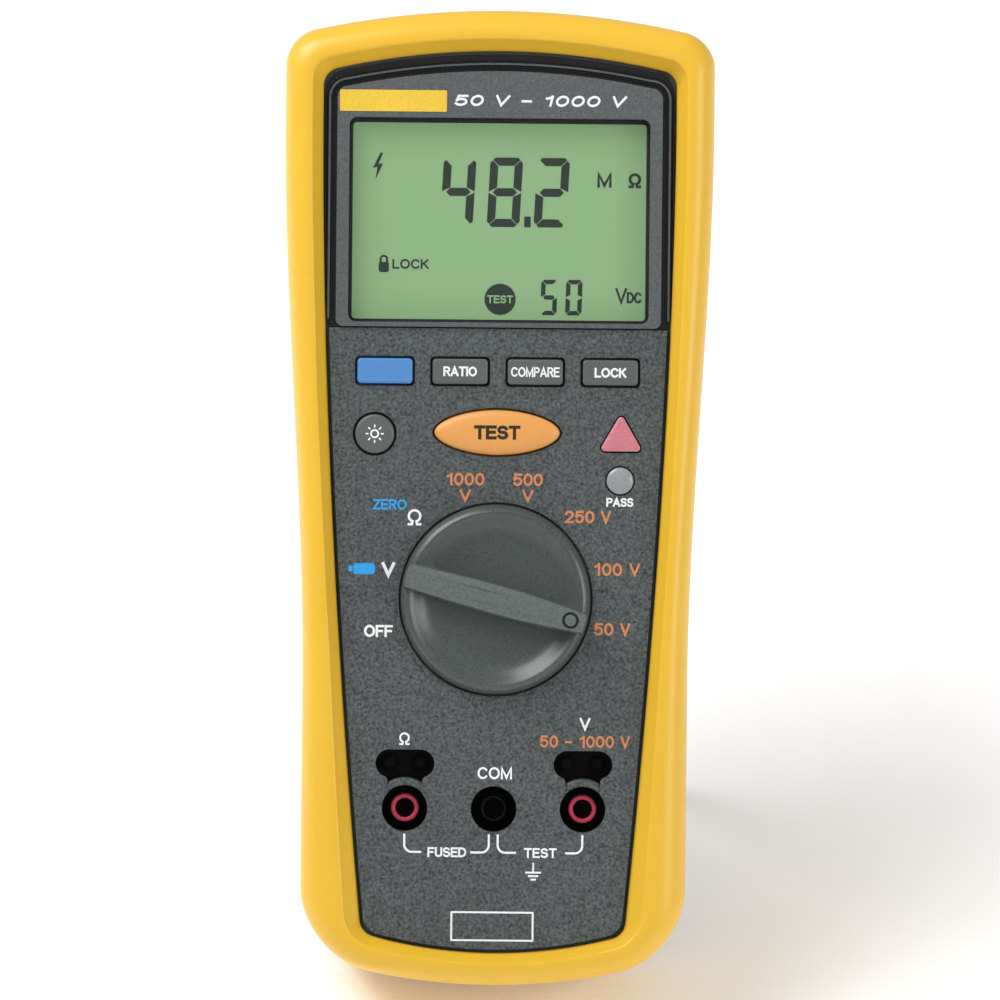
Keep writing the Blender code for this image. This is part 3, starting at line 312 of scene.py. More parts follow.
def roundedCorner(start, corner, end, steps):
    # A cubic curve that leaves start and reaches end towards the corner
    first, second = Vector(start).lerp(Vector(corner), 0.5523), Vector(end).lerp(Vector(corner), 0.5523)
    points = []
    for step in range(steps + 1):
        t = step / steps
        points.append(tuple(Vector(start) * (1 - t) ** 3 + first * 3 * t * (1 - t) ** 2
                            + second * 3 * t * t * (1 - t) + Vector(end) * t ** 3))
    return points


bodyShape = {"halfWidth": lambda y: 41.3 + 4.7 * smoothStep((y + 40) / 120), "keepsCorners": False,
             "top": 104.5, "topRadius": 184, "topCorner": 6.2,
             "bottom": -104.5, "bottomRadius": 129, "bottomCorner": 14}
faceShape = {"halfWidth": lambda y: 37.8 - 9.5 * min(max((80 - y) / 172, 0), 1) ** 1.75, "keepsCorners": True,
             "top": 95.7, "topRadius": 157, "topCorner": 2.8,
             "bottom": -97.4, "bottomRadius": 100, "bottomCorner": 2.5}


crownSteps, sideSteps, cornerSteps = 14, 48, 12


def crowned(shape, inwards=0.0):
    # Outline with crowned ends, shaped sides and round corners, moved inwards by a distance
    spare = max(inwards, 0.0) if shape["keepsCorners"] else 0.0
    halfWidth, top, bottom = shape["halfWidth"], shape["top"], shape["bottom"]
    topCorner, bottomCorner = shape["topCorner"] + spare, shape["bottomCorner"] + spare
    bottomHalf, topHalf = halfWidth(bottom + bottomCorner), halfWidth(top - topCorner)
    bottomEdge = bottom + crownDrop(bottomHalf, shape["bottomRadius"])
    topEdge = top - crownDrop(topHalf, shape["topRadius"])
    sideLow, sideHigh = bottomEdge + bottomCorner, topEdge - topCorner
    crownEnd = bottomHalf - bottomCorner
    steps = [crownEnd * step / crownSteps for step in range(crownSteps)]
    right = [(x, bottom + crownDrop(x, shape["bottomRadius"])) for x in steps]
    right += roundedCorner((crownEnd, bottom + crownDrop(crownEnd, shape["bottomRadius"])),
                           (bottomHalf, bottomEdge), (halfWidth(sideLow), sideLow), cornerSteps)
    for step in range(1, sideSteps):
        y = sideLow + (sideHigh - sideLow) * step / sideSteps
        right.append((halfWidth(y), y))
    crownEnd = topHalf - topCorner
    right += roundedCorner((halfWidth(sideHigh), sideHigh), (topHalf, topEdge),
                           (crownEnd, top - crownDrop(crownEnd, shape["topRadius"])), cornerSteps)
    steps = [crownEnd * step / crownSteps for step in reversed(range(crownSteps))]
    right += [(x, top - crownDrop(x, shape["topRadius"])) for x in steps]
    points = right + [(-x, y) for x, y in reversed(right[1:-1])]
    moved = []
    for index, (x, y) in enumerate(points):
        along = (Vector(points[(index + 1) % len(points)]) - Vector(points[index - 1])).normalized()
        moved.append((x - along.y * inwards, y + along.x * inwards))
    return moved


def linear(shade):
    # An sRGB hex value as linear light
    channels = [int(shade[start:start + 2], 16) / 255 for start in (1, 3, 5)]
    return tuple(c / 12.92 if c <= 0.04045 else ((c + 0.055) / 1.055) ** 2.4 for c in channels) + (1.0,)


def addNode(tree, kind, inputs, **settings):
    # One node with its settings; an input is a value or another node's output
    node = tree.nodes.new(kind)
    for name, value in settings.items():
        setattr(node, name, value)
    for name, value in inputs.items():
        if isinstance(value, bpy.types.NodeSocket):
            tree.links.new(value, node.inputs[name])
        else:
            node.inputs[name].default_value = value
    return node


def newMaterial(name):
    material = bpy.data.materials.new(name)
    material.use_nodes = True
    tree = material.node_tree
    shader = tree.nodes["Principled BSDF"]
    place = addNode(tree, "ShaderNodeTexCoord", {}).outputs["Object"]
    return material, tree, shader, place


def noise(tree, place, grain, **inputs):
    # Its grain is in millimetres
    return addNode(tree, "ShaderNodeTexNoise", {"Vector": place, "Scale": 1000 / grain, **inputs}).outputs["Fac"]


def ranged(tree, value, low, high, start=0.3, end=0.7):
    # Values from start to end spread from low to high; noise seldom leaves its middle
    return addNode(tree, "ShaderNodeMapRange", {"Value": value, "From Min": start, "From Max": end,
                                                "To Min": low, "To Max": high}).outputs["Result"]


def paintedSheenUp(tree, place, start, full, gain):
    # A factor that grows with the height over the face: painted highlight, the colour paler higher up
    height = addNode(tree, "ShaderNodeVectorMath", {0: place, 1: outOfFace}, operation="DOT_PRODUCT")
    base = (toFrame @ knobSpot).dot(outOfFace)
    heights = [base + (level - knobSpot.z) / 1000 for level in (start, full)]
    return ranged(tree, height.outputs["Value"], 1.0, gain, *heights)


def mouldedPlastic(name, look):
    # Fine grain from the tool's surface in colour, gloss and relief, with a slow drift of tone
    material, tree, shader, place = newMaterial(name)
    grain = noise(tree, place, look["grain"], Detail=3.0, Roughness=0.6)
    drift = noise(tree, place, driftSize, Detail=1.0)
    shade = ranged(tree, grain, 1 - look["speckle"], 1 + look["speckle"])
    factors = [ranged(tree, drift, 1 - look["tone"], 1 + look["tone"])]
    # Painted sheen: the colour made paler with height, for the light the grip's top catches
    if "paintedSheen" in look:
        factors.append(paintedSheenUp(tree, place, *look["paintedSheen"]))
    for factor in factors:
        shade = addNode(tree, "ShaderNodeMath", {0: shade, 1: factor}, operation="MULTIPLY").outputs[0]
    colour = addNode(tree, "ShaderNodeVectorMath", {0: linear(look["colour"])[:3], "Scale": shade},
                     operation="SCALE").outputs["Vector"]
    spread = look.get("spread", 0.05)
    gloss = ranged(tree, grain, look["roughness"] - spread, look["roughness"] + spread)
    relief = addNode(tree, "ShaderNodeBump", {"Height": grain, "Strength": 1.0,
                                              "Distance": look["relief"] * 1e-6}).outputs["Normal"]
    for socket, value in (("Base Color", colour), ("Roughness", gloss), ("Normal", relief)):
        tree.links.new(value, shader.inputs[socket])
    for socket, value in look.get("sockets", {}).items():
        shader.inputs[socket].default_value = value
    return material


def bareMetal(name, look):
    # Drawn or turned metal: faint lines round or along the part, and a little tarnish
    material, tree, shader, place = newMaterial(name)
    lines = noise(tree, place, look["grain"], Detail=2.0, Distortion=0.4)
    tarnish = noise(tree, place, tarnishSize, Detail=2.0)
    colour = addNode(tree, "ShaderNodeMix", {"Factor": tarnish, "A": linear(look["colour"]),
                                             "B": linear(look["dull"])}, data_type="RGBA")
    tree.links.new(colour.outputs["Result"], shader.inputs["Base Color"])
    gloss = ranged(tree, lines, look["roughness"] - 0.08, look["roughness"] + 0.12, 0, 1)
    tree.links.new(gloss, shader.inputs["Roughness"])
    shader.inputs["Metallic"].default_value = 1.0
    return material


def clearAcrylic(name, look):
    # Hard-coated window: nearly invisible, with a faint veil and its own reflections
    material, tree, shader, place = newMaterial(name)
    gloss = ranged(tree, noise(tree, place, look["grain"], Detail=2.0), *look["gloss"], 0, 1)
    tree.links.new(gloss, shader.inputs["Roughness"])
    shader.inputs["Base Color"].default_value = linear(look["colour"])
    shader.inputs["Alpha"].default_value = look["alpha"]
    return material


print("materials")
driftSize, tarnishSize = 40, 6  # mm
# Colour, roughness, grain in mm, speckle, drift of tone and relief in micrometres
settings = ("colour", "roughness", "grain", "speckle", "tone", "relief")
plastics = {
    "thermoplasticRubberYellow": ("#E2B430", 0.36, 0.35, 0.03, 0.015, 9),  # soft satin overmould
    "sparkErodedAbsGrey": ("#474D4D", 0.48, 0.62, 0.75, 0.05, 60),  # coarse matt tool texture on the face
    "mouldedAbsGrey": ("#4F5656", 0.5, 0.4, 0.15, 0.04, 25),  # the same with a finer texture, on the case halves
    "satinAbsGrey": ("#54585A", 0.4, 0.45, 0.32, 0.03, 14),  # finer and a little paler, on the bezel
    "polishedAbsBlack": ("#141517", 0.22, 0.5, 0.05, 0.04, 1.5),  # near black, it shows only as reflections
    "fineTextureNylonGrey": ("#464D4B", 0.3, 0.45, 0.25, 0.03, 16),  # glass-filled, painted paler towards the top of the grip as a painted highlight
    "polycarbonateBlack": ("#050506", 0.5, 0.5, 0.05, 0.04, 2),  # the socket walls, a darker black than the other black plastics: painted shade for the deep wells
    "glassFilledNylonRed": ("#F8506E", 0.35, 0.4, 0.05, 0.04, 3),  # bright coded ring
    "siliconeKeyGrey": ("#565A58", 0.42, 0.3, 0.12, 0.04, 8),  # matt silicone under a clear hard coat
    "siliconeKeyBlue": ("#4C84C0", 0.42, 0.3, 0.05, 0.04, 6),
    "siliconeKeyOrange": ("#DC9A50", 0.4, 0.3, 0.05, 0.04, 6),
    "siliconeMatGrey": ("#6C6E6E", 0.7, 0.5, 0.06, 0.04, 8),
    "nitrileRubberBlack": ("#17181A", 0.75, 0.5, 0.15, 0.04, 10),  # dusty matt seal
    "mouldedAbsBlack": ("#131416", 0.45, 0.4, 0.1, 0.04, 8),
    "mouldedAcetalWhite": ("#DEDDD6", 0.4, 0.6, 0.03, 0.04, 4),
    "solderMaskGreen": ("#1B5B38", 0.3, 0.6, 0.1, 0.04, 6),  # the board's glass weave just shows
    "tintedAcrylicRed": ("#C87A84", 0.25, 0.6, 0.05, 0.04, 2),  # frosted behind, glossy in front
    "frostedAcrylicGrey": ("#8E9494", 0.3, 0.6, 0.05, 0.04, 2),
    "reflectiveLiquidCrystal": ("#6F8F65", 0.5, 0.3, 0.015, 0.01, 1),  # fine silk, with a faint glow of its own that fills in the bezel's shade: painted light
    "liquidCrystalDark": ("#15241B", 0.5, 0.3, 0.03, 0.04, 1),
    "polyesterLabelSilver": ("#B9BCBC", 0.35, 0.3, 0.04, 0.04, 2),
    "shrinkSleeveGrey": ("#3C4048", 0.25, 0.5, 0.03, 0.04, 2),
    "glazedCeramicWhite": ("#E4E0D4", 0.25, 0.5, 0.03, 0.04, 3)}
# Dense print, slightly thinner where the grain below shows through
inks = {"screenPrintBlack": "#101312", "padPrintWhite": "#E6EAEA", "padPrintOrange": "#C87E50",
        "padPrintBlue": "#2A9ADD", "padPrintBlack": "#2A2018", "foilPrintYellow": "#E2BC3A"}
plastics.update({name: (shade, 0.45, 0.35, 0.12, 0.04, 4) for name, shade in inks.items()})
special = {
    "thermoplasticRubberYellow": {"sockets": {
        "Specular IOR Level": 0.45, "Subsurface Weight": 0.08, "Subsurface Radius": (0.002, 0.001, 0.0004),
        "Subsurface Scale": 1.0}},
    "polishedAbsBlack": {"spread": 0.03},
    # Painted highlight: the grip's crest drawn paler from 47.6 mm to 48.7 mm, up to 1.75 times brighter
    "fineTextureNylonGrey": {"paintedSheen": (47.6, 48.7, 1.75)},
    "polycarbonateBlack": {"sockets": {"Specular IOR Level": 0.2}},
    "tintedAcrylicRed": {"sockets": {
        "Subsurface Weight": 0.35, "Subsurface Radius": (0.002, 0.001, 0.001), "Subsurface Scale": 1.0,
        "Coat Weight": 0.5}},
    "frostedAcrylicGrey": {"sockets": {
        "Subsurface Weight": 0.3, "Subsurface Radius": (0.002, 0.002, 0.002), "Subsurface Scale": 1.0,
        "Coat Weight": 0.4}},
    # Painted light: the display glows faintly so that the bezel's shade over it is filled in
    "reflectiveLiquidCrystal": {"sockets": {"Emission Color": linear("#88AE7C"), "Emission Strength": 0.36}}}
looks = {name: mouldedPlastic(name, {**dict(zip(settings, row)), **special.get(name, {})})
         for name, row in plastics.items()}
for name, look in (("turnedBrass", {"colour": "#C9A560", "dull": "#A8843F", "roughness": 0.28, "grain": 0.3}),
                   ("zincPlatedSteel", {"colour": "#B9BBBE", "dull": "#989A9E", "roughness": 0.3, "grain": 0.4})):
    looks[name] = bareMetal(name, look)
looks["hardCoatedAcrylic"] = clearAcrylic(
    "hardCoatedAcrylic", {"colour": "#8A968C", "alpha": 0.02, "grain": 12, "gloss": (0.04, 0.09)})
finishes = {
    "yellow_rubber": "thermoplasticRubberYellow", "grey_case": "mouldedAbsGrey", "bezel_grey": "satinAbsGrey",
    "knob_grey": "fineTextureNylonGrey", "black_rubber": "nitrileRubberBlack", "grey_rubber": "siliconeMatGrey",
    "clear_window": "hardCoatedAcrylic", "display_green": "reflectiveLiquidCrystal",
    "white_plastic": "mouldedAcetalWhite", "board_green": "solderMaskGreen", "black_plastic": "mouldedAbsBlack",
    "red_plastic": "glassFilledNylonRed", "blue_key": "siliconeKeyBlue", "grey_key": "siliconeKeyGrey",
    "orange_key": "siliconeKeyOrange", "red_lens": "tintedAcrylicRed", "grey_lens": "frostedAcrylicGrey",
    "fuse_body": "glazedCeramicWhite", "brass": "turnedBrass", "steel": "zincPlatedSteel",
    "cell_wrap": "shrinkSleeveGrey"}
for part in frame["record"]["subparts"]:
    mesh = frame["nodes"][part["node"]].data
    mesh.materials.clear()
    mesh.materials.append(looks[finishes[part["material_slot"]]])

print("holster")
holster = {"wall": 3.0, "rearLip": 6.0, "edge": 4.0, "lipDepth": 2.6, "cavityTop": 41.5, "crestAt": 0.68,
           "crownFrom": 39.0, "rim": 47.0, "crownPower": 2.3, "chamferEnd": 43.3}


def makeHolster():
    # A closed section carried round the case; its front runs from the outer outline to the face opening
    outer, opening = crowned(bodyShape), crowned(faceShape)
    cavity, rear = crowned(bodyShape, holster["wall"]), crowned(bodyShape, holster["rearLip"])
    flatBack = crowned(bodyShape, holster["edge"])

    def between(share, height, first=outer, second=opening):
        return [(a[0] + (b[0] - a[0]) * share, a[1] + (b[1] - a[1]) * share, height)
                for a, b in zip(first, second)]

    rings = [between(0, height) for height in (4.0, 12.0, 20.0, 28.0, 34.0, holster["crownFrom"])]
    ease = 2 / holster["crownPower"]
    climb = holster["rim"] - holster["crownFrom"]
    for step in range(1, 15):
        turn = math.pi / 2 * step / 14
        rings.append(between(holster["crestAt"] * (1 - math.cos(turn) ** ease),
                             holster["crownFrom"] + climb * math.sin(turn) ** ease))
    drop = holster["rim"] - holster["chamferEnd"]
    for share, part in ((0.715, 0.02), (0.735, 0.08), (0.75, 0.14), (0.97, 0.93), (0.99, 0.98), (1.0, 1.06)):
        rings.append(between(share, holster["rim"] - drop * part))
    rings.append(between(1, holster["cavityTop"]))
    rings += [level(cavity, holster["cavityTop"]), level(cavity, holster["lipDepth"])]
    rings += [level(rear, holster["lipDepth"]), level(rear, 0.3), between(0.05, 0.0, rear, flatBack)]
    for step in range(0, 7):
        turn = math.pi / 2 * step / 7
        rings.append(between(1 - math.sin(turn), holster["edge"] * (1 - math.cos(turn)), outer, flatBack))
    piece = loft("holsterShell", rings, loop=True)
    settle(piece, "yellow_rubber", ["holster"], angle=40, flat=False)


makeHolster()

print("face")
face = {"top": 44.0, "low": 41.35, "gap": 0.75, "edge": 0.3, "displayLedge": 42.0, "displayLow": 36.2,
        "ledgeHole": (33.2, 36.9, 82, 1), "lensGap": 0.6, "passGap": 0.3}
keys = {"half": (5.9, 2.7), "corner": 0.8, "height": 27.0, "pitch": 16.08, "clearance": 0.5, "top": 44.9,
        "flange": (39.1, 40.1), "flangeMargin": 0.8,
        "words": (None, ("RATIO", 7.2, 0.42), ("COMPARE", 10.4, 0.34), ("LOCK", 6.8, 0.44))}
backlight = {"centre": (-26.2, 13.5), "radius": 4.2, "sun": 0.95, "sunHole": 0.6, "rays": (1.3, 1.95)}
testKey = {"centre": (0.0, 14.0), "half": (13.4, 4.8), "brim": 43.9, "top": 45.5}
hazard = {"centre": (26.5, 12.9), "radius": 5.5}
passLamp = {"centre": (26.4, 3.9), "radius": 2.9, "brim": 43.8, "dome": 0.75}
lampSeat = 39.6
sockets = {"pitch": 19.05, "height": -66.6, "well": 4.9, "remoteHeight": -57.0, "remoteHalf": (6.3, 3.0),
           "pinPitch": 6.15, "neck": 3.7, "neckCorner": 1.2}
wellRidge = {"outer": 6.6, "inner": 4.92, "angles": (34, 146), "low": 38, "top": 43.0}
knobPlan = {"recess": 20.8, "recessFloor": 42.1, "shaftHole": 4.1, "rest": math.radians(-15)}


def keyPlaces():
    return [(number - 1.5) * keys["pitch"] for number in range(4)]


def keyOutline(x, margin=0.0):
    halfX, halfY = keys["half"]
    return roundedBox(halfX + margin, keys["height"] - halfY - margin, keys["height"] + halfY + margin,
                      keys["corner"] + margin / 3, x, 6)


def remoteOutline(x, margin=0.0):
    halfX, halfY = sockets["remoteHalf"]
    middle = sockets["remoteHeight"]
    return roundedBox(halfX - margin, middle - halfY + margin, middle + halfY - margin, halfY - margin - 0.02, x, 12)


def neckOutline(x, margin=0.0):
    # The way from a recess down to its well, widening in a round corner where it leaves the recess
    halfX, halfY = sockets["remoteHalf"]
    half, corner = sockets["neck"] - margin, sockets["neckCorner"]
    across = half + corner - (halfX - halfY)
    rise = math.sqrt((halfY - margin + corner) ** 2 - across ** 2)
    middle = (half + corner, sockets["remoteHeight"] - rise)
    end = 180 - math.degrees(math.atan2(rise, across))
    right = [(half, sockets["height"])] + arc(middle, corner, 180, end, 8) + [(half, sockets["remoteHeight"])]
    return [(x + px, py) for px, py in right] + [(x - px, py) for px, py in reversed(right)]


def wellOutlines(margin=0.0):
    # The three wells, and the recess for a remote probe above the outer two
    outlines = []
    for number in (-1, 0, 1):
        x = number * sockets["pitch"]
        outlines.append(circle(sockets["well"] - margin, (x, sockets["height"]), 72))
        if number:
            outlines.append(remoteOutline(x, margin))
            outlines.append(neckOutline(x, margin))
    return outlines


def makeFace():
    panel = plate("facePanel", crowned(faceShape, face["gap"]), face["low"], face["top"])
    keepBeyond(panel, (0, face["displayLow"], 0), (0, -1, 0))
    clearance = keys["clearance"]
    halfX, halfY = testKey["half"]
    holes = [keyOutline(x, clearance) for x in keyPlaces()]
    holes += [circle(backlight["radius"] + clearance, backlight["centre"]),
              fullOval(halfX + clearance, halfY + clearance, testKey["centre"]),
              triangle(hazard["radius"] + face["lensGap"], hazard["centre"], 1.1),
              circle(passLamp["radius"] + face["passGap"], passLamp["centre"])]
    cutHoles(panel, holes + wellOutlines())
    cutHoles(panel, [circle(knobPlan["recess"], knobSpot.xy, 128)], knobPlan["recessFloor"])
    cutHoles(panel, [circle(knobPlan["shaftHole"], knobSpot.xy)])
    bevelEdges(panel, face["edge"])
    settle(panel, "grey_case", ["front_case"], look="sparkErodedAbsGrey")
    shell = cadCopy("front_case", "frontShell")
    combine(shell, plate("above", roundedBox(60, -120, 120, 1, 0, 1), face["low"] - 0.05, 60))
    settle(shell, "grey_case")
    ledge = plate("displayLedge", crowned(faceShape, face["gap"]), face["low"], face["displayLedge"])
    keepBeyond(ledge, (0, face["displayLow"] + 0.05, 0), (0, 1, 0))
    cutHoles(ledge, [roundedBox(*face["ledgeHole"])])
    bevelEdges(ledge, 0.15)
    settle(ledge, "grey_case", look="polishedAbsBlack")
    ridges = []
    start, end = wellRidge["angles"]
    for side in (-1, 1):
        middle = (side * sockets["pitch"], sockets["height"])
        band = arc(middle, wellRidge["outer"], start, end, 24) + arc(middle, wellRidge["inner"], end, start, 24)
        ridge = plate("ridge", band, wellRidge["low"], wellRidge["top"])
        raiseTop(ridge, shoulder(0.4, 0.6))
        ridges.append(ridge)
    settle(joinAs("wellRidges", ridges), "grey_case", look="sparkErodedAbsGrey")


makeFace()

print("display")
# Windows, mask and badge: half width, low, high, corner and, where it isn't 0, middle
display = {"half": 34.8, "low": 36.5, "top": 91.3, "face": 44.6, "seat": 42.3, "topCorner": 2.4, "lowCorner": 1.5,
           "edge": 0.55, "window": (32.2, 37.5, 81.3, 1.7), "mask": (32.8, 37.3, 81.6, 1), "maskLevels": (40.6, 40.8),
           "opening": (31.45, 38.2, 80.3, 0.8), "pane": (32.9, 37.2, 81.7, 1), "paneLevels": (40.9, 42.0),
           "badge": (11.45, 82.5, 87.1, 0.25, -22.85, 3), "badgeThick": 0.12, "glass": 40.5}
# Distance from the bezel, width and height
rails = (("innerRail", 0.95, 0.3, 1.2, "polishedAbsBlack"), ("displayRail", 1.6, 0.45, 1.7, "satinAbsGrey"),
         ("outerRail", 2.4, 0.28, 0.6, "polishedAbsBlack"))


def bezelOutline(outwards=0.0):
    # Flat foot, straight sides and a crowned top that follows the rim
    half, low, corner = display["half"] + outwards, display["low"], display["topCorner"] + outwards
    top, radius = display["top"] + outwards, faceShape["topRadius"]
    right = arc((half - display["lowCorner"], low + display["lowCorner"]), display["lowCorner"], 270, 360, 6)
    edge = top - crownDrop(half - corner, radius)
    right += roundedCorner((half, edge - corner), (half, edge), (half - corner, edge), 10)
    steps = [(half - corner) * step / 16 for step in reversed(range(16))]
    right += [(x, top - crownDrop(x, radius)) for x in steps]
    return right + [(-x, y) for x, y in reversed(right[:-1])]


def makeBezel():
    bezel = plate("bezelFrame", bezelOutline(), display["seat"], display["face"])
    cutHoles(bezel, [roundedBox(*display["window"])])
    bevelEdges(bezel, display["edge"], 4)
    settle(bezel, "bezel_grey", ["display_bezel"])
    # A black printed border round the display, partly real print and partly painted shade of the bezel's inner wall
    mask = plate("windowBorderPrintAndShade", roundedBox(*display["mask"]), *display["maskLevels"])
    cutHoles(mask, [roundedBox(*display["opening"])])
    settle(mask, "black_plastic", look="screenPrintBlack")
    window = plate("windowPane", roundedBox(*display["pane"]), *display["paneLevels"])
    bevelEdges(window, 0.15)
    settle(window, "clear_window", ["display_window"])
    front = display["face"]
    badge = plate("badgePlate", roundedBox(*display["badge"]), front, front + display["badgeThick"])
    bevelEdges(badge, 0.05)
    settle(badge, "yellow_rubber", look="foilPrintYellow")


def makeRails():
    # Fine ribs that run round the bezel in the dark ledge
    for name, outwards, width, height, look in rails:
        path, ledge = bezelOutline(outwards), face["displayLedge"]
        foot = (max(x for x, y in path), display["low"] + 1.6)
        path = [foot] + [(x, y) for x, y in path if y > display["low"] + 2] + [(-foot[0], foot[1])]
        rail = plate(name, strip(path, width), ledge - 0.2, ledge + height)
        bevelEdges(rail, 0.1)
        settle(rail, "grey_case", look=look)


makeBezel()
makeRails()


def ovalRing(half):
    return [bow(half, 0.5, half, 0.5, start, start + 180) for start in (90, -90)]


# Plain capitals and numbers as strokes, one high: each has its width and its paths
glyphs = {
    "0": (0.54, ovalRing(0.27)),
    "1": (0.34, [[(0.04, 0.78), (0.2, 0.84), (0.3, 1)], [(0.3, 0), (0.3, 1)]]),
    "2": (0.54, [bow(0.27, 0.72, 0.26, 0.28, 170, -35) + [(0, 0), (0.54, 0)]]),
    "5": (0.54, [[(0.5, 1), (0.08, 1), (0.04, 0.52)], bow(0.26, 0.33, 0.27, 0.33, 145, -150, 14)]),
    "A": (0.68, [[(0, 0), (0.34, 1), (0.68, 0)], [(0.14, 0.3), (0.54, 0.3)]]),
    "C": (0.66, [bow(0.35, 0.5, 0.35, 0.5, 40, 320, 16)]),
    "D": (0.62, [[(0, 0), (0, 1)], [(0, 1), (0.25, 1)] + bow(0.25, 0.5, 0.37, 0.5, 80, -80) + [
        (0.25, 0), (0, 0)]]),
    "E": (0.52, [[(0.52, 1), (0, 1), (0, 0), (0.52, 0)], [(0, 0.52), (0.46, 0.52)]]),
    "F": (0.5, [[(0.5, 1), (0, 1), (0, 0)], [(0, 0.5), (0.42, 0.5)]]),
    "I": (0.02, [[(0.01, 0), (0.01, 1)]]),
    "K": (0.58, [[(0, 0), (0, 1)], [(0.55, 1), (0.04, 0.42)], [(0.2, 0.6), (0.58, 0)]]),
    "L": (0.46, [[(0, 1), (0, 0), (0.46, 0)]]),
    "M": (0.74, [[(0, 0), (0, 1), (0.37, 0.06), (0.74, 1), (0.74, 0)]]),
    "O": (0.74, ovalRing(0.37)),
    "P": (0.56, [[(0, 0), (0, 1), (0.3, 1)] + bow(0.3, 0.74, 0.26, 0.26, 80, -80) + [(0.3, 0.48), (0.04, 0.48)]]),
    "R": (0.58, [[(0, 0), (0, 1), (0.3, 1)] + bow(0.3, 0.75, 0.26, 0.25, 80, -80) + [(0.3, 0.5), (0.04, 0.5)],
                 [(0.3, 0.5), (0.58, 0)]]),
    "S": (0.56, [bow(0.28, 0.745, 0.26, 0.255, 25, 235) + bow(0.28, 0.265, 0.28, 0.265, 65, -155)]),
    "T": (0.58, [[(0, 1), (0.58, 1)], [(0.29, 0), (0.29, 1)]]),
    "U": (0.56, [[(0, 1)] + bow(0.28, 0.28, 0.28, 0.28, 180, 360) + [(0.56, 1)]]),
    "V": (0.6, [[(0, 1), (0.3, 0), (0.6, 1)]]),
    "Z": (0.54, [[(0, 1), (0.54, 1), (0, 0), (0.54, 0)]]),
    "-": (0.5, [[(0.05, 0.45), (0.45, 0.45)]]), " ": (0.2, [])}


def lettering(words, x, y, height, width, ink=0.5, slant=0.0, surface=44.0, thick=0.05):
    # Words drawn with the alphabet above, centred on a spot and set to a height and a width
    letterGap = 0.24
    reach, marks = 0.0, []
    total = sum(glyphs[sign][0] for sign in words) + letterGap * (len(words) - 1)
    wide, tall = (width - ink) / total, height - ink
    for sign in words:
        across, paths = glyphs[sign]
        for path in paths:
            spots = [Vector((x + (reach + px - total / 2) * wide + slant * (py - 0.5) * tall, y + (py - 0.5) * tall))
                     for px, py in path]
            spots[0] += (spots[0] - spots[1]).normalized() * ink / 2
            spots[-1] += (spots[-1] - spots[-2]).normalized() * ink / 2
            marks.append(inked(strip(spots, ink), surface, thick + 0.002 * (len(marks) % 5)))
        reach += across + letterGap
    return joinAs("lettering", marks)


def inked(points, surface=44.0, thick=0.05):
    return plate("mark", points, surface, surface + thick)


def printOn(name, marks, finish, look, body="housing"):
    settle(joinAs(name, marks), finish, body=body, look=look, flat=False)


def ohmSign(x, y, height, stroke, surface=44.0):
    # An open ring on two short feet
    radius = height * 0.42
    middle = (x, y + height / 2 - radius)
    foot = y - height / 2 + stroke / 2
    path = [(x - radius, foot), (x - radius * 0.38, foot)]
    path += arc(middle, radius - stroke / 2, 250, -70, 28)
    path += [(x + radius * 0.38, foot), (x + radius, foot)]
    return inked(strip(path, stroke), surface)


print("display segments")
segments = {"4": "fgbc", "8": "abcdefg", "2": "abged", "5": "afgcd", "0": "abcdef"}
film = {"surface": display["glass"] + 0.02, "thick": 0.04}
mainReading = {"signs": (("4", -12.7), ("8", -2.7), ("2", 7.35)), "low": 58.1, "width": 7.0, "height": 14.9,
               "thick": 1.75, "gap": 0.12, "slant": 0.05}
sideReading = {"signs": (("5", 8.95), ("0", 14.3)), "low": 39.3, "width": 3.5, "height": 7.6, "thick": 0.95,
               "gap": 0.1, "slant": 0.03}
readingWords = (("M", 22.5, 68.3, 3.1, 3.1, 0.6), ("V", 26.3, 43.6, 3.3, 2.5, 0.5),
                ("DC", 29.1, 43.2, 2.4, 3.2, 0.45), ("LOCK", -18.9, 50.0, 2.1, 7.8, 0.38))
padlock = {"x": -24.65, "half": 1.1, "low": 48.2, "high": 50.4, "arm": 0.7, "armFoot": 50.3, "armTop": 51.0,
           "stroke": 0.45}
bolt = ((-25.6, 73.8), (-27.2, 70.5), (-26.2, 70.8), (-26.6, 68.0), (-25.0, 71.6), (-26.0, 71.3), (-25.0, 73.8))
testDisc = {"centre": (0.35, 42.6), "radius": 3.35}


def segmentBars(width, height, thick, gap):
    # Mitred bars of one digit, named in the usual way from the top clockwise, the middle last
    half = height / 2
    cut = thick * 0.6
    top = [(cut, height), ((cut + gap) / 2, height - cut / 2), (gap + thick, height - thick),
           (width - gap - thick, height - thick), (width - (cut + gap) / 2, height - cut / 2), (width - cut, height)]
    upper = [(cut / 2, height - cut / 2 - gap), (0, height - cut - gap), (0, half + gap),
             (thick, half + thick / 2 + gap), (thick, height - thick - gap)]
    middle = [(thick / 2, half), (thick, half - thick / 2), (width - thick, half - thick / 2),
              (width - thick / 2, half), (width - thick, half + thick / 2), (thick, half + thick / 2)]

    def flipX(points):
        return [(width - x, y) for x, y in reversed(points)]

    def flipY(points):
        return [(x, height - y) for x, y in reversed(points)]
    return {"a": top, "b": flipX(upper), "c": flipY(flipX(upper)), "d": flipY(top), "e": flipY(upper),
            "f": upper, "g": middle}


def reading(plan):
    bars = segmentBars(plan["width"], plan["height"], plan["thick"], plan["gap"])
    return [inked([(left + x + plan["slant"] * y, plan["low"] + y) for x, y in bars[bar]], **film)
            for sign, left in plan["signs"] for bar in segments[sign]]


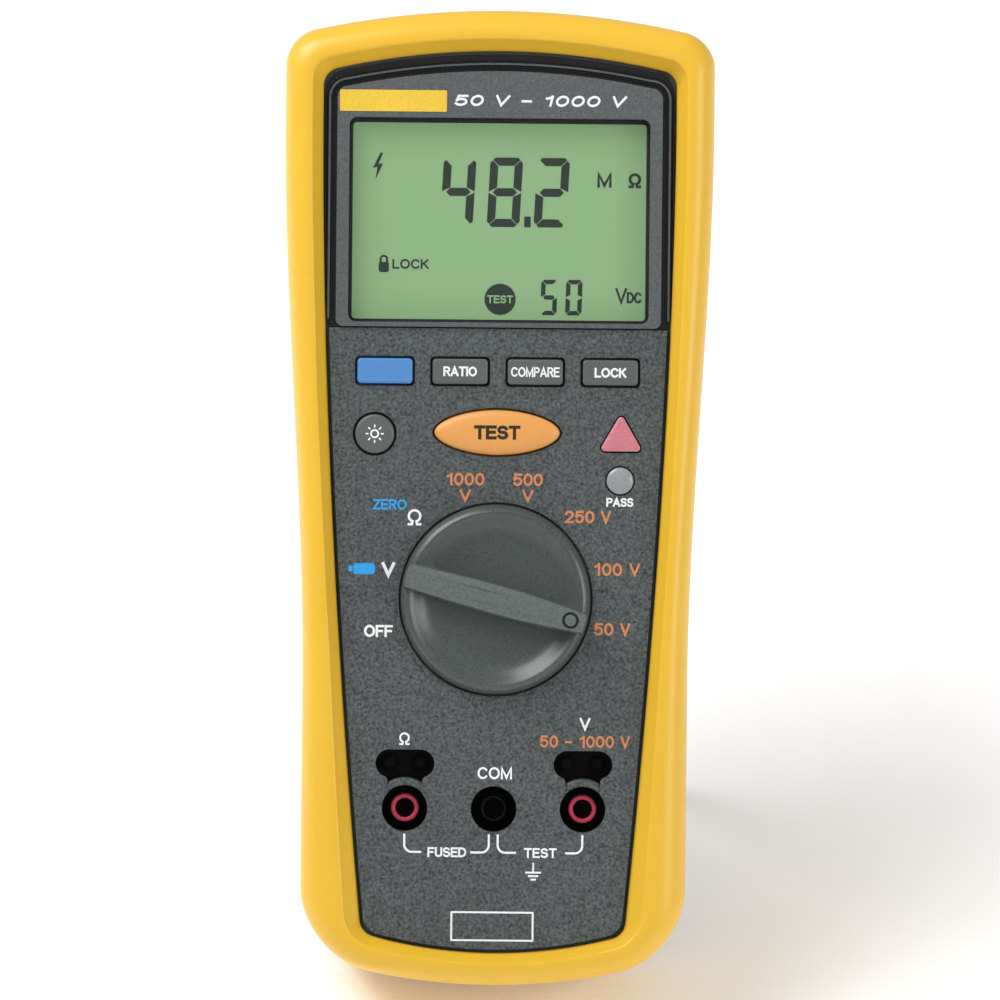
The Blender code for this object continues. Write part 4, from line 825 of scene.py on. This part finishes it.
def makeReading():
    x, arm, top = padlock["x"], padlock["arm"], padlock["armTop"]
    shackle = [(x - arm, padlock["armFoot"])] + arc((x, top), arm, 180, 0, 10) + [(x + arm, padlock["armFoot"])]
    marks = reading(mainReading) + reading(sideReading) + [lettering(*word, **film) for word in readingWords]
    marks += [inked(roundedBox(0.7, 58.1, 60.4, 0.1, 6.05, 2), **film), inked(bolt, **film),
              inked(roundedBox(padlock["half"], padlock["low"], padlock["high"], 0.5, x, 4), **film),
              inked(strip(shackle, padlock["stroke"]), **film),
              inked(circle(testDisc["radius"], testDisc["centre"], 48), **film),
              ohmSign(29.0, 68.3, 3.2, 0.6, film["surface"])]
    printOn("readingSegments", marks, "display_green", "liquidCrystalDark")
    word = lettering("TEST", *testDisc["centre"], 1.7, 5.6, 0.32, surface=film["surface"] + 0.045, thick=0.03)
    printOn("readingWord", [word], "display_green", "reflectiveLiquidCrystal")


makeReading()

print("keys and lamps")


def makeKeys():
    # A cap with round shoulders and a slight pillow, on the flange that holds it behind the face
    low, high = keys["flange"]
    first = plate("shiftCap", keyOutline(0), high - 0.2, keys["top"] - 0.6)
    raiseTop(first, shoulder(0.45, 0.45, 5) + [(0.2, 0.04)])
    combine(first, plate("flange", keyOutline(0, keys["flangeMargin"]), low, high), "UNION")
    titles = ("shift", "ratio", "compare", "lock")
    caps = [first] + [copyOf(first, title + "Cap") for title in titles[1:]]
    for cap, title, x, word in zip(caps, titles, keyPlaces(), keys["words"]):
        node = title + "_button"
        cap.location.x = x
        settle(cap, "grey_key" if word else "blue_key", [node], node)
        if word:
            sign, width, ink = word
            legend = lettering(sign, x, keys["height"], 2.1, width, ink, surface=keys["top"] - 0.14, thick=0.06)
            printOn(title + "Legend", [legend], "grey_key", "padPrintWhite", node)


def makeBacklightKey():
    radius, (x, y), top = backlight["radius"], backlight["centre"], keys["top"]
    low, high = keys["flange"]
    out = radius + keys["flangeMargin"]
    profile = [(0, low), (out, low), (out, high), (radius, high), (radius, top - 0.9)]
    profile += [(radius - 0.7 + 0.7 * math.cos(turn), top - 0.9 + 0.6 * math.sin(turn))
                for turn in (0.4, 0.8, 1.2, 1.5)]
    profile += [(radius * 0.55, top - 0.18), (radius * 0.25, top - 0.1), (0, top - 0.08)]
    cap = turned("backlightCap", profile, (x, y))
    settle(cap, "grey_key", ["backlight_button"], "backlight_button", flat=False)
    surface, thick = top - 0.16, 0.1
    ring = inked(circle(backlight["sun"], (x, y), 40), surface, thick)
    combine(ring, plate("hole", circle(backlight["sunHole"], (x, y), 40), surface - 1, surface + 1))
    rays = [ring]
    for across, up in circle(1, steps=8):
        ends = [(x + across * reach, y + up * reach) for reach in backlight["rays"]]
        rays.append(inked(strip(ends, 0.3), surface, thick))
    printOn("backlightLegend", rays, "grey_key", "padPrintWhite", "backlight_button")


def makeTestKey():
    # An oval pillow on its flange
    (halfX, halfY), top, brim = testKey["half"], testKey["top"], testKey["brim"]
    low, high = keys["flange"]
    out = keys["flangeMargin"]
    levels = [(halfX + out, halfY + out, low), (halfX + out, halfY + out, high), (halfX, halfY, high),
              (halfX, halfY, brim)]
    for step in range(1, 13):
        turn = math.pi / 2 * step / 13
        share = math.cos(turn) ** 0.55
        levels.append((halfX * share, halfY * share, brim + (top - brim) * math.sin(turn) ** 0.9))
    cap = loft("testCap", [level(fullOval(a, b, testKey["centre"]), height) for a, b, height in levels])
    settle(cap, "orange_key", ["test_button"], "test_button", flat=False)
    legend = lettering("TEST", *testKey["centre"], 3.0, 9.9, 0.68, surface=top - 0.1, thick=0.12)
    printOn("testLegend", [legend], "orange_key", "padPrintBlack", "test_button")


def makeLamps():
    lens = plate("hazardLens", triangle(hazard["radius"], hazard["centre"]), lampSeat, 43.9)
    raiseTop(lens, shoulder(0.5, 0.5) + [(0.3, 0.08)])
    settle(lens, "red_lens", ["hazard_lens"])
    radius, brim, dome = passLamp["radius"], passLamp["brim"], passLamp["dome"]
    profile = [(0, lampSeat), (radius, lampSeat), (radius, brim)]
    profile += [(radius * math.cos(turn), brim + dome * math.sin(turn)) for turn in (0.3, 0.6, 0.85, 1.1, 1.35)]
    lens = turned("passLens", profile + [(0, 44.56)], passLamp["centre"])
    settle(lens, "grey_lens", ["pass_lens"], flat=False)


makeKeys()
makeBacklightKey()
makeTestKey()
makeLamps()

print("knob")
# Radius and height, from below over the rim and down into the dish
knobDisc = [(0, 42.5), (20.0, 42.5), (20.3, 42.8), (20.3, 44.8), (20.1, 45.5), (19.6, 46.2), (19.2, 46.6),
            (18.7, 46.8), (18.2, 46.72), (17.4, 46.2), (16.3, 45.4), (15.0, 44.75), (13.4, 44.35), (11.5, 44.17),
            (9.0, 44.1), (0, 44.05)]
grip = {"tail": (-21.5, 3.1), "belly": (1.0, 3.65), "point": (21.5, 2.4), "foot": 43.5, "flankFoot": 44.6,
        "flankTop": 48.7, "sink": 1.1, "sinkFrom": -3.0, "cut": 19.75, "dot": 16.6}


def gripOutline(inwards):
    # Widest just past the middle, narrowing to the pointer
    (tailX, tail), (bellyX, belly), (pointX, point) = grip["tail"], grip["belly"], grip["point"]
    upper = []
    for step in range(33):
        x = tailX + (pointX - tailX) * step / 32
        if x < bellyX:
            half = tail + (belly - tail) * math.sin((x - tailX) / (bellyX - tailX) * math.pi / 2)
        else:
            half = belly + (point - belly) * (1 - math.cos((x - bellyX) / (pointX - bellyX) * math.pi / 2))
        upper.append((x, half - inwards))
    return [(x, -half) for x, half in upper] + upper[::-1]


def makeKnob():
    knob = turned("knobCap", knobDisc, steps=144)
    inwards, height = 0.55, grip["flankTop"]
    levels = [(0, grip["foot"]), (0, grip["flankFoot"]), (inwards, height)]
    for across, rise in shoulder(0.75, 0.9, 5) + [(0.4, 0.1), (0.4, 0.05)]:
        inwards, height = inwards + across, height + rise
        levels.append((inwards, height))
    top = height

    def sunk(x, y, z):
        # The tail of the crest sinks a little
        share = max(grip["sinkFrom"] - x, 0) / 16 * max(z - grip["flankFoot"], 0) / 5
        return (x, y, z - grip["sink"] * share)

    bar = loft("bar", [[sunk(x, y, z) for x, y in gripOutline(inset)] for inset, z in levels])
    combine(bar, turned("round", [(0, 40), (grip["cut"], 40), (grip["cut"], 60), (0, 60)], steps=150), "INTERSECT")
    spot = (grip["dot"], 0)
    combine(bar, turned("pit", [(0, top - 0.7), (1.75, top - 0.7), (1.85, top + 1), (0, top + 1)], spot, 48))
    combine(knob, bar, "UNION")
    dot = turned("knobDot", [(0, top - 0.8), (1.25, top - 0.8), (1.25, top - 0.15), (1.1, top + 0.05),
                             (0.7, top + 0.16), (0, top + 0.2)], spot, 48)
    ring = roundRing("knobDotRing", 1.27, 1.73, top - 0.7, top - 0.25, 0.05, spot)
    for piece in (knob, dot, ring):
        piece.rotation_euler.z = knobPlan["rest"]
        piece.location = (*knobSpot.xy, 0)
    settle(knob, "knob_grey", ["knob"], "knob", angle=28)
    settle(dot, "knob_grey", body="knob")
    settle(ring, "black_plastic", body="knob", look="screenPrintBlack")


makeKnob()

print("sockets")


collarRing = {"inner": 2.05, "outer": 3.05, "low": 36.2, "high": 39.4, "edge": 0.35}
socketTube = {"inner": 2.05, "outer": 2.8, "low": 28.8, "high": 35.9, "edge": 0.15}
# A black plug closing each socket tube: painted shade, put where the deep socket lies in shade
socketShadePlug = [(0, 29.0), (2.03, 29.0), (2.03, 33.0), (1.6, 33.0), (0, 32.0)]
remotePin = [(0, 37.2), (1.6, 37.2), (1.6, 38.15), (1.5, 38.3), (1.3, 38.3), (1.2, 38.15), (1.15, 37.7), (0, 37.6)]
socketHouse = {"low": 28.8, "high": 41.1, "remoteFloor": 36.9, "well": (30.6, 40),
               "tube": (28, 31), "tubeHole": 3.1, "slack": 0.1}


def makeSockets():
    slack = socketHouse["slack"]
    block = plate("socketBody", roundedBox(26, -74, -51, 2), socketHouse["low"], socketHouse["high"])
    cutHoles(block, wellOutlines(slack), socketHouse["remoteFloor"])
    for number in (-1, 0, 1):
        spot = (number * sockets["pitch"], sockets["height"])
        cutHoles(block, [circle(sockets["well"] - slack, spot)], *socketHouse["well"])
        cutHoles(block, [circle(socketHouse["tubeHole"], spot, 40)], *socketHouse["tube"])
    bevelEdges(block, 0.15)
    settle(block, "black_plastic", ["socket_block"], look="polycarbonateBlack")
    collar = roundRing("ohmCollarRing", **collarRing)
    tube = roundRing("ohmSocketTube", **socketTube)
    # Black plugs that stand in for the shade deep in each socket
    shadePlug = turned("ohmSocketShadePlug", socketShadePlug, steps=48)
    sets = [("ohm", -1, collar, tube, shadePlug)]
    for name, number in (("common", 0), ("volt", 1)):
        sets.append((name, number, copyOf(collar, name + "CollarRing"), copyOf(tube, name + "SocketTube"),
                     copyOf(shadePlug, name + "SocketShadePlug")))
    for name, number, collar, tube, shadePlug in sets:
        for piece in (collar, tube, shadePlug):
            piece.location = (number * sockets["pitch"], sockets["height"], 0)
        settle(collar, "red_plastic" if number else "black_plastic", [name + "_collar"],
               look=None if number else "polycarbonateBlack", flat=False)
        settle(tube, "brass", [name + "_socket"], flat=False)
        settle(shadePlug, "black_plastic", look="polycarbonateBlack", flat=False)
    pins = [("ohm", -1, "Left", -1), ("ohm", -1, "Right", 1), ("volt", 1, "Left", -1), ("volt", 1, "Right", 1)]
    first = turned("ohmRemoteLeft", remotePin, steps=40)
    copies = [copyOf(first, name + "Remote" + word) for name, number, word, side in pins[1:]]
    for pin, (name, number, word, side) in zip([first] + copies, pins):
        pin.location = (number * sockets["pitch"] + side * sockets["pinPitch"] / 2, sockets["remoteHeight"], 0)
        settle(pin, "black_plastic", [name + "_remote_pin_" + word.lower()], look="polycarbonateBlack", flat=False)


makeSockets()

print("printing")


# Word, centre, height, width and, where it isn't the usual one, the stroke
orangeWords = (("50 V", 25.0, -27.9, 2.7, 7.8), ("100 V", 25.9, -15.1, 2.7, 9.9), ("250 V", 19.6, -3.9, 2.7, 9.9),
               ("500", 6.7, 3.95, 2.7, 6.4), ("V", 6.7, 0.45, 2.6, 2.4), ("1000", -6.7, 3.95, 2.7, 8.2),
               ("V", -6.7, 0.45, 2.6, 2.4), ("50 - 1000 V", 19.4, -52.0, 2.6, 19.3, 0.46))
whiteWords = (("OFF", -25.0, -28.7, 2.6, 6.2, 0.52), ("V", -23.0, -15.5, 3.1, 2.9, 0.68),
              ("PASS", 26.4, -0.7, 1.9, 5.8, 0.38), ("V", 19.4, -48.2, 2.6, 2.3, 0.46),
              ("COM", 0.2, -58.9, 2.6, 7.4, 0.44), ("FUSED", -9.9, -75.9, 2.1, 8.3, 0.4),
              ("TEST", 10.1, -75.9, 2.1, 7.0, 0.4))
ohmSigns = ((-17.5, -4.3, 3.5, 0.5), (-19.2, -51.7, 2.7, 0.4))
brackets = {"high": -72.0, "low": -75.9, "corner": 1.6, "stroke": 0.45, "inner": 0.95, "ends": (15.4, 4.9)}
earth = {"x": 8.6, "stem": (-78.0, -80.0), "stemStroke": 0.35, "first": -80.1, "step": 0.75,
         "halves": (1.7, 1.1, 0.6), "stroke": 0.4}
emptyBox = {"half": 8.9, "low": -94.9, "high": -88.5, "middle": -0.1, "line": 0.4}


def makePrint():
    printOn("facePrintOrange", [lettering(*word) for word in orangeWords], "grey_case", "padPrintOrange")
    battery = [inked(roundedBox(2.3, -16.6, -14.2, 0.5, -28.2, 4)),
               inked(roundedBox(0.45, -16.0, -14.8, 0.2, -31.1, 3))]
    blue = [lettering("ZERO", -22.8, -1.6, 2.2, 7.2, 0.4)] + battery
    printOn("facePrintBlue", blue, "grey_case", "padPrintBlue")
    half, low, high, line = (emptyBox[key] for key in ("half", "low", "high", "line"))
    box = inked(roundedBox(half, low, high, 0.2, emptyBox["middle"], 2))
    cutHoles(box, [roundedBox(half - line, low + line, high - line, 0.1, emptyBox["middle"], 2)])
    white = [lettering(*word) for word in whiteWords] + [ohmSign(*sign) for sign in ohmSigns] + makeLines() + [box]
    printOn("facePrintWhite", white, "grey_case", "padPrintWhite")
    title = lettering("50 V - 1000 V", 8.6, 85.0, 2.4, 36.6, slant=0.25, surface=display["face"])
    printOn("bezelPrint", [title], "bezel_grey", "padPrintWhite")


def makeLines():
    # Brackets that tie each outer socket to the common one, and the earth sign
    high, low, corner, stroke = (brackets[key] for key in ("high", "low", "corner", "stroke"))
    paths = []
    for side in (-1, 1):
        for start, way, end in ((side * sockets["pitch"], side, brackets["ends"][0]),
                                (side * brackets["inner"], -side, brackets["ends"][1])):
            bend = arc((start - way * corner, low + corner), corner, 90 - 90 * way, 90 - 180 * way, 8)
            paths.append(([(start, high)] + bend + [(side * end, low)], stroke))
    x = earth["x"]
    paths.append(([(x, y) for y in earth["stem"]], earth["stemStroke"]))
    for number, half in enumerate(earth["halves"]):
        y = earth["first"] - earth["step"] * number
        paths.append(([(x - half, y), (x + half, y)], earth["stroke"]))
    return [inked(strip(path, width)) for path, width in paths]


makePrint()

print("back")
screws = {"head": 2.7, "shank": 1.3, "tip": 36.0, "thick": 1.7, "cross": 3.0,
          "places": {"upper": (31.0, 90.5, 1.0), "lower": (28.0, -10.5, 6.4)}}
lock = {"x": 26.0, "y": -22.0, "head": 3.2, "face": 6.3, "under": 8.8, "stem": 2.2, "top": 13.0}
cell = {"radius": 7.2, "length": 50.2, "pitch": 14.8, "y": -59.5, "depth": 16.7, "nub": 2.6}
fuse = {"y": -23.5, "depth": 13.0, "half": 16.0, "cap": 10.0, "radius": 3.2}


def makeScrews():
    # Pan heads with a cross recess; each length is made once, for the left side, and copied
    for word, (x, y, head) in screws["places"].items():
        radius, shank, under, tip = screws["head"], screws["shank"], head + screws["thick"], screws["tip"]
        profile = [(0, head), (1.4, head), (2.2, head + 0.15), (2.6, head + 0.5), (radius, head + 0.9),
                   (radius, under), (shank, under), (shank, tip - 1.0), (0.7, tip), (0, tip)]
        first = turned(word + "LeftScrewBody", profile, steps=48)
        for quarter in (0, 1):
            reach = screws["cross"] / 2
            path = [(-reach, 0), (reach, 0)] if quarter else [(0, -reach), (0, reach)]
            combine(first, plate("recess", strip(path, 0.7), head - 1, head + 1.1))
        second = copyOf(first, word + "RightScrewBody")
        for piece, side, name in ((first, -1, "left"), (second, 1, "right")):
            piece.location = (side * x, y, 0)
            settle(piece, "steel", [word + "_" + name + "_screw"], flat=False)


def makeLocks():
    # A slotted quarter-turn head on a stem with a cross tongue, made once and copied
    face, under, top = lock["face"], lock["under"], lock["top"]
    profile = [(0, face), (2.8, face), (3.1, face + 0.1), (lock["head"], face + 0.4), (lock["head"], under),
               (lock["stem"], under), (lock["stem"], top), (0, top)]
    first = turned("leftLockBody", profile, steps=64)
    combine(first, plate("tongue", roundedBox(3.8, -1.1, 1.1, 0.3, 0, 3), top - 1.6, top + 0.4), "UNION")
    combine(first, plate("slot", roundedBox(0.6, -2.4, 2.4, 0.5, 0, 4), face - 1, face + 1.1))
    second = copyOf(first, "rightLockBody")
    for piece, side, node in ((first, -1, "left_door_lock"), (second, 1, "right_door_lock")):
        piece.location = (side * lock["x"], lock["y"], 0)
        settle(piece, "black_plastic", [node], node, flat=False)


def makeCells():
    # Shrink-sleeved can with its steel ends showing, laid alternately head to tail
    half, radius, nub = cell["length"] / 2, cell["radius"], cell["nub"]
    sleeve = [(0, -half + 0.3), (radius - 1.2, -half + 0.3), (radius - 0.3, -half + 0.1), (radius, -half + 0.5),
              (radius, half - 2.1), (radius - 0.4, half - 1.4), (radius - 1.4, half - 1.3), (0, half - 1.3)]
    ends = [(0, -half), (radius - 2.2, -half), (radius - 1.8, -half + 0.4), (radius - 1.8, half - 1.1),
            (nub, half - 1.1), (nub, half - 0.3), (nub - 0.3, half), (0, half)]
    wrap, cap = turned("cell1Sleeve", sleeve), turned("cell1Ends", ends)
    pairs = [(wrap, cap)] + [(copyOf(wrap, "cell%dSleeve" % n), copyOf(cap, "cell%dEnds" % n)) for n in (2, 3, 4)]
    for number, pair in enumerate(pairs):
        for piece, finish in zip(pair, ("cell_wrap", "steel")):
            piece.rotation_euler.x = math.radians(90 if number % 2 else -90)
            piece.location = ((number - 1.5) * cell["pitch"], cell["y"], cell["depth"])
            settle(piece, finish, ["cell_%d" % (number + 1)], flat=False)


def makeFuse():
    # Ceramic tube between two pressed caps
    half, start, radius = fuse["half"], fuse["cap"], fuse["radius"]
    end, body = start + 1, radius - 0.3
    tube = turned("fuseTube", [(0, -end), (body, -end), (body, end), (0, end)])
    profile = [(0, start), (radius - 0.15, start), (radius, start + 0.2), (radius, half - 0.5), (radius - 0.5, half),
               (0, half)]
    first = turned("fuseCapRight", profile)
    second = copyOf(first, "fuseCapLeft")
    for piece, turn, finish in ((tube, 90, "fuse_body"), (first, 90, "brass"), (second, -90, "brass")):
        piece.rotation_euler.y = math.radians(turn)
        piece.location = (0, fuse["y"], fuse["depth"])
        settle(piece, finish, ["fuse"], flat=False)


def softened(node, name, finish, body, edge, segments=2):
    piece = cadCopy(node, name)
    bevelEdges(piece, edge, segments)
    settle(piece, finish, [node], body)


def makeBack():
    softened("rear_case", "rearShell", "grey_case", "housing", 0.25)
    label = plate("ratingLabel", roundedBox(24, 34, 74, 2.5), 0.45, 0.6)
    bevelEdges(label, 0.05, 1)
    settle(label, "grey_case", look="polyesterLabelSilver")
    softened("tilt_stand", "standFrame", "yellow_rubber", "tilt_stand", 0.5, 3)
    softened("battery_door", "doorPanel", "grey_case", "battery_door", 0.3)
    ribs = [plate("rib", roundedBox(9, y - 0.4, y + 0.4, 0.35), 5.9, 6.3) for y in (-79.0, -77.4, -75.8, -74.2)]
    for rib in ribs:
        bevelEdges(rib, 0.15)
    settle(joinAs("doorRibs", ribs), "grey_case", body="battery_door")


makeScrews()
makeLocks()
makeCells()
makeFuse()
makeBack()

print("stage")
studio = {"lens": 300, "view": 214.0, "aim": (0.75, -0.43, 44.0), "roll": math.radians(0.55), "floor": 0.00135,
          "room": 0.46}
# Place in millimetres over the face, size in metres and power in watts
panels = (("keyPanel", (-520, 760, 560), 0.6, 8.5), ("lowPanel", (-760, 700, 170), 0.5, 2.5),
          ("fillPanel", (820, 60, 600), 0.5, 3.5))
paper = {"colour": "#FCFCFC", "roughness": 0.9, "grain": 4, "speckle": 0.004, "tone": 0.0, "relief": 2,
         "sockets": {"Emission Color": (1, 1, 1, 1), "Emission Strength": 0.1}}


def addObject(name, data):
    thing = bpy.data.objects.new(name, data)
    bpy.context.scene.collection.objects.link(thing)
    return thing


def makeStage():
    # The floor meets the round edge of the holster and the foot of the stand
    deselect()
    bpy.ops.mesh.primitive_plane_add(size=120, location=(0, 0, studio["floor"]))
    floor = bpy.context.object
    floor.name = "studioFloor"
    floor.data.materials.append(mouldedPlastic("matWhitePaper", paper))
    world = bpy.data.worlds.new("softRoom")
    bpy.context.scene.world = world
    world.use_nodes = True
    background = world.node_tree.nodes["Background"]
    background.inputs["Color"].default_value = (1, 1, 1, 1)
    background.inputs["Strength"].default_value = studio["room"]
    aim = toFrame @ Vector((0, 0, knobSpot.z))
    for name, spot, size, power in panels:
        light = bpy.data.lights.new(name, "AREA")
        light.size = size
        light.energy = power
        lamp = addObject(name, light)
        lamp.location = toFrame @ Vector(spot)
        lamp.rotation_euler = (aim - lamp.location).to_track_quat("-Z", "Y").to_euler()
        lamp.visible_camera = False
    cameraData = bpy.data.cameras.new("camera")
    cameraData.lens = studio["lens"]
    cameraData.clip_end = 50
    camera = addObject("camera", cameraData)
    distance = studio["view"] * studio["lens"] / cameraData.sensor_width
    spot = toFrame @ (Vector(studio["aim"]) + Vector((0, 0, distance)))
    turn = toFrame.to_3x3().normalized().to_4x4()
    camera.matrix_world = Matrix.Translation(spot) @ turn @ Matrix.Rotation(studio["roll"], 4, "Z")
    bpy.context.scene.camera = camera
    bpy.context.scene.view_settings.view_transform = "Standard"


makeStage()
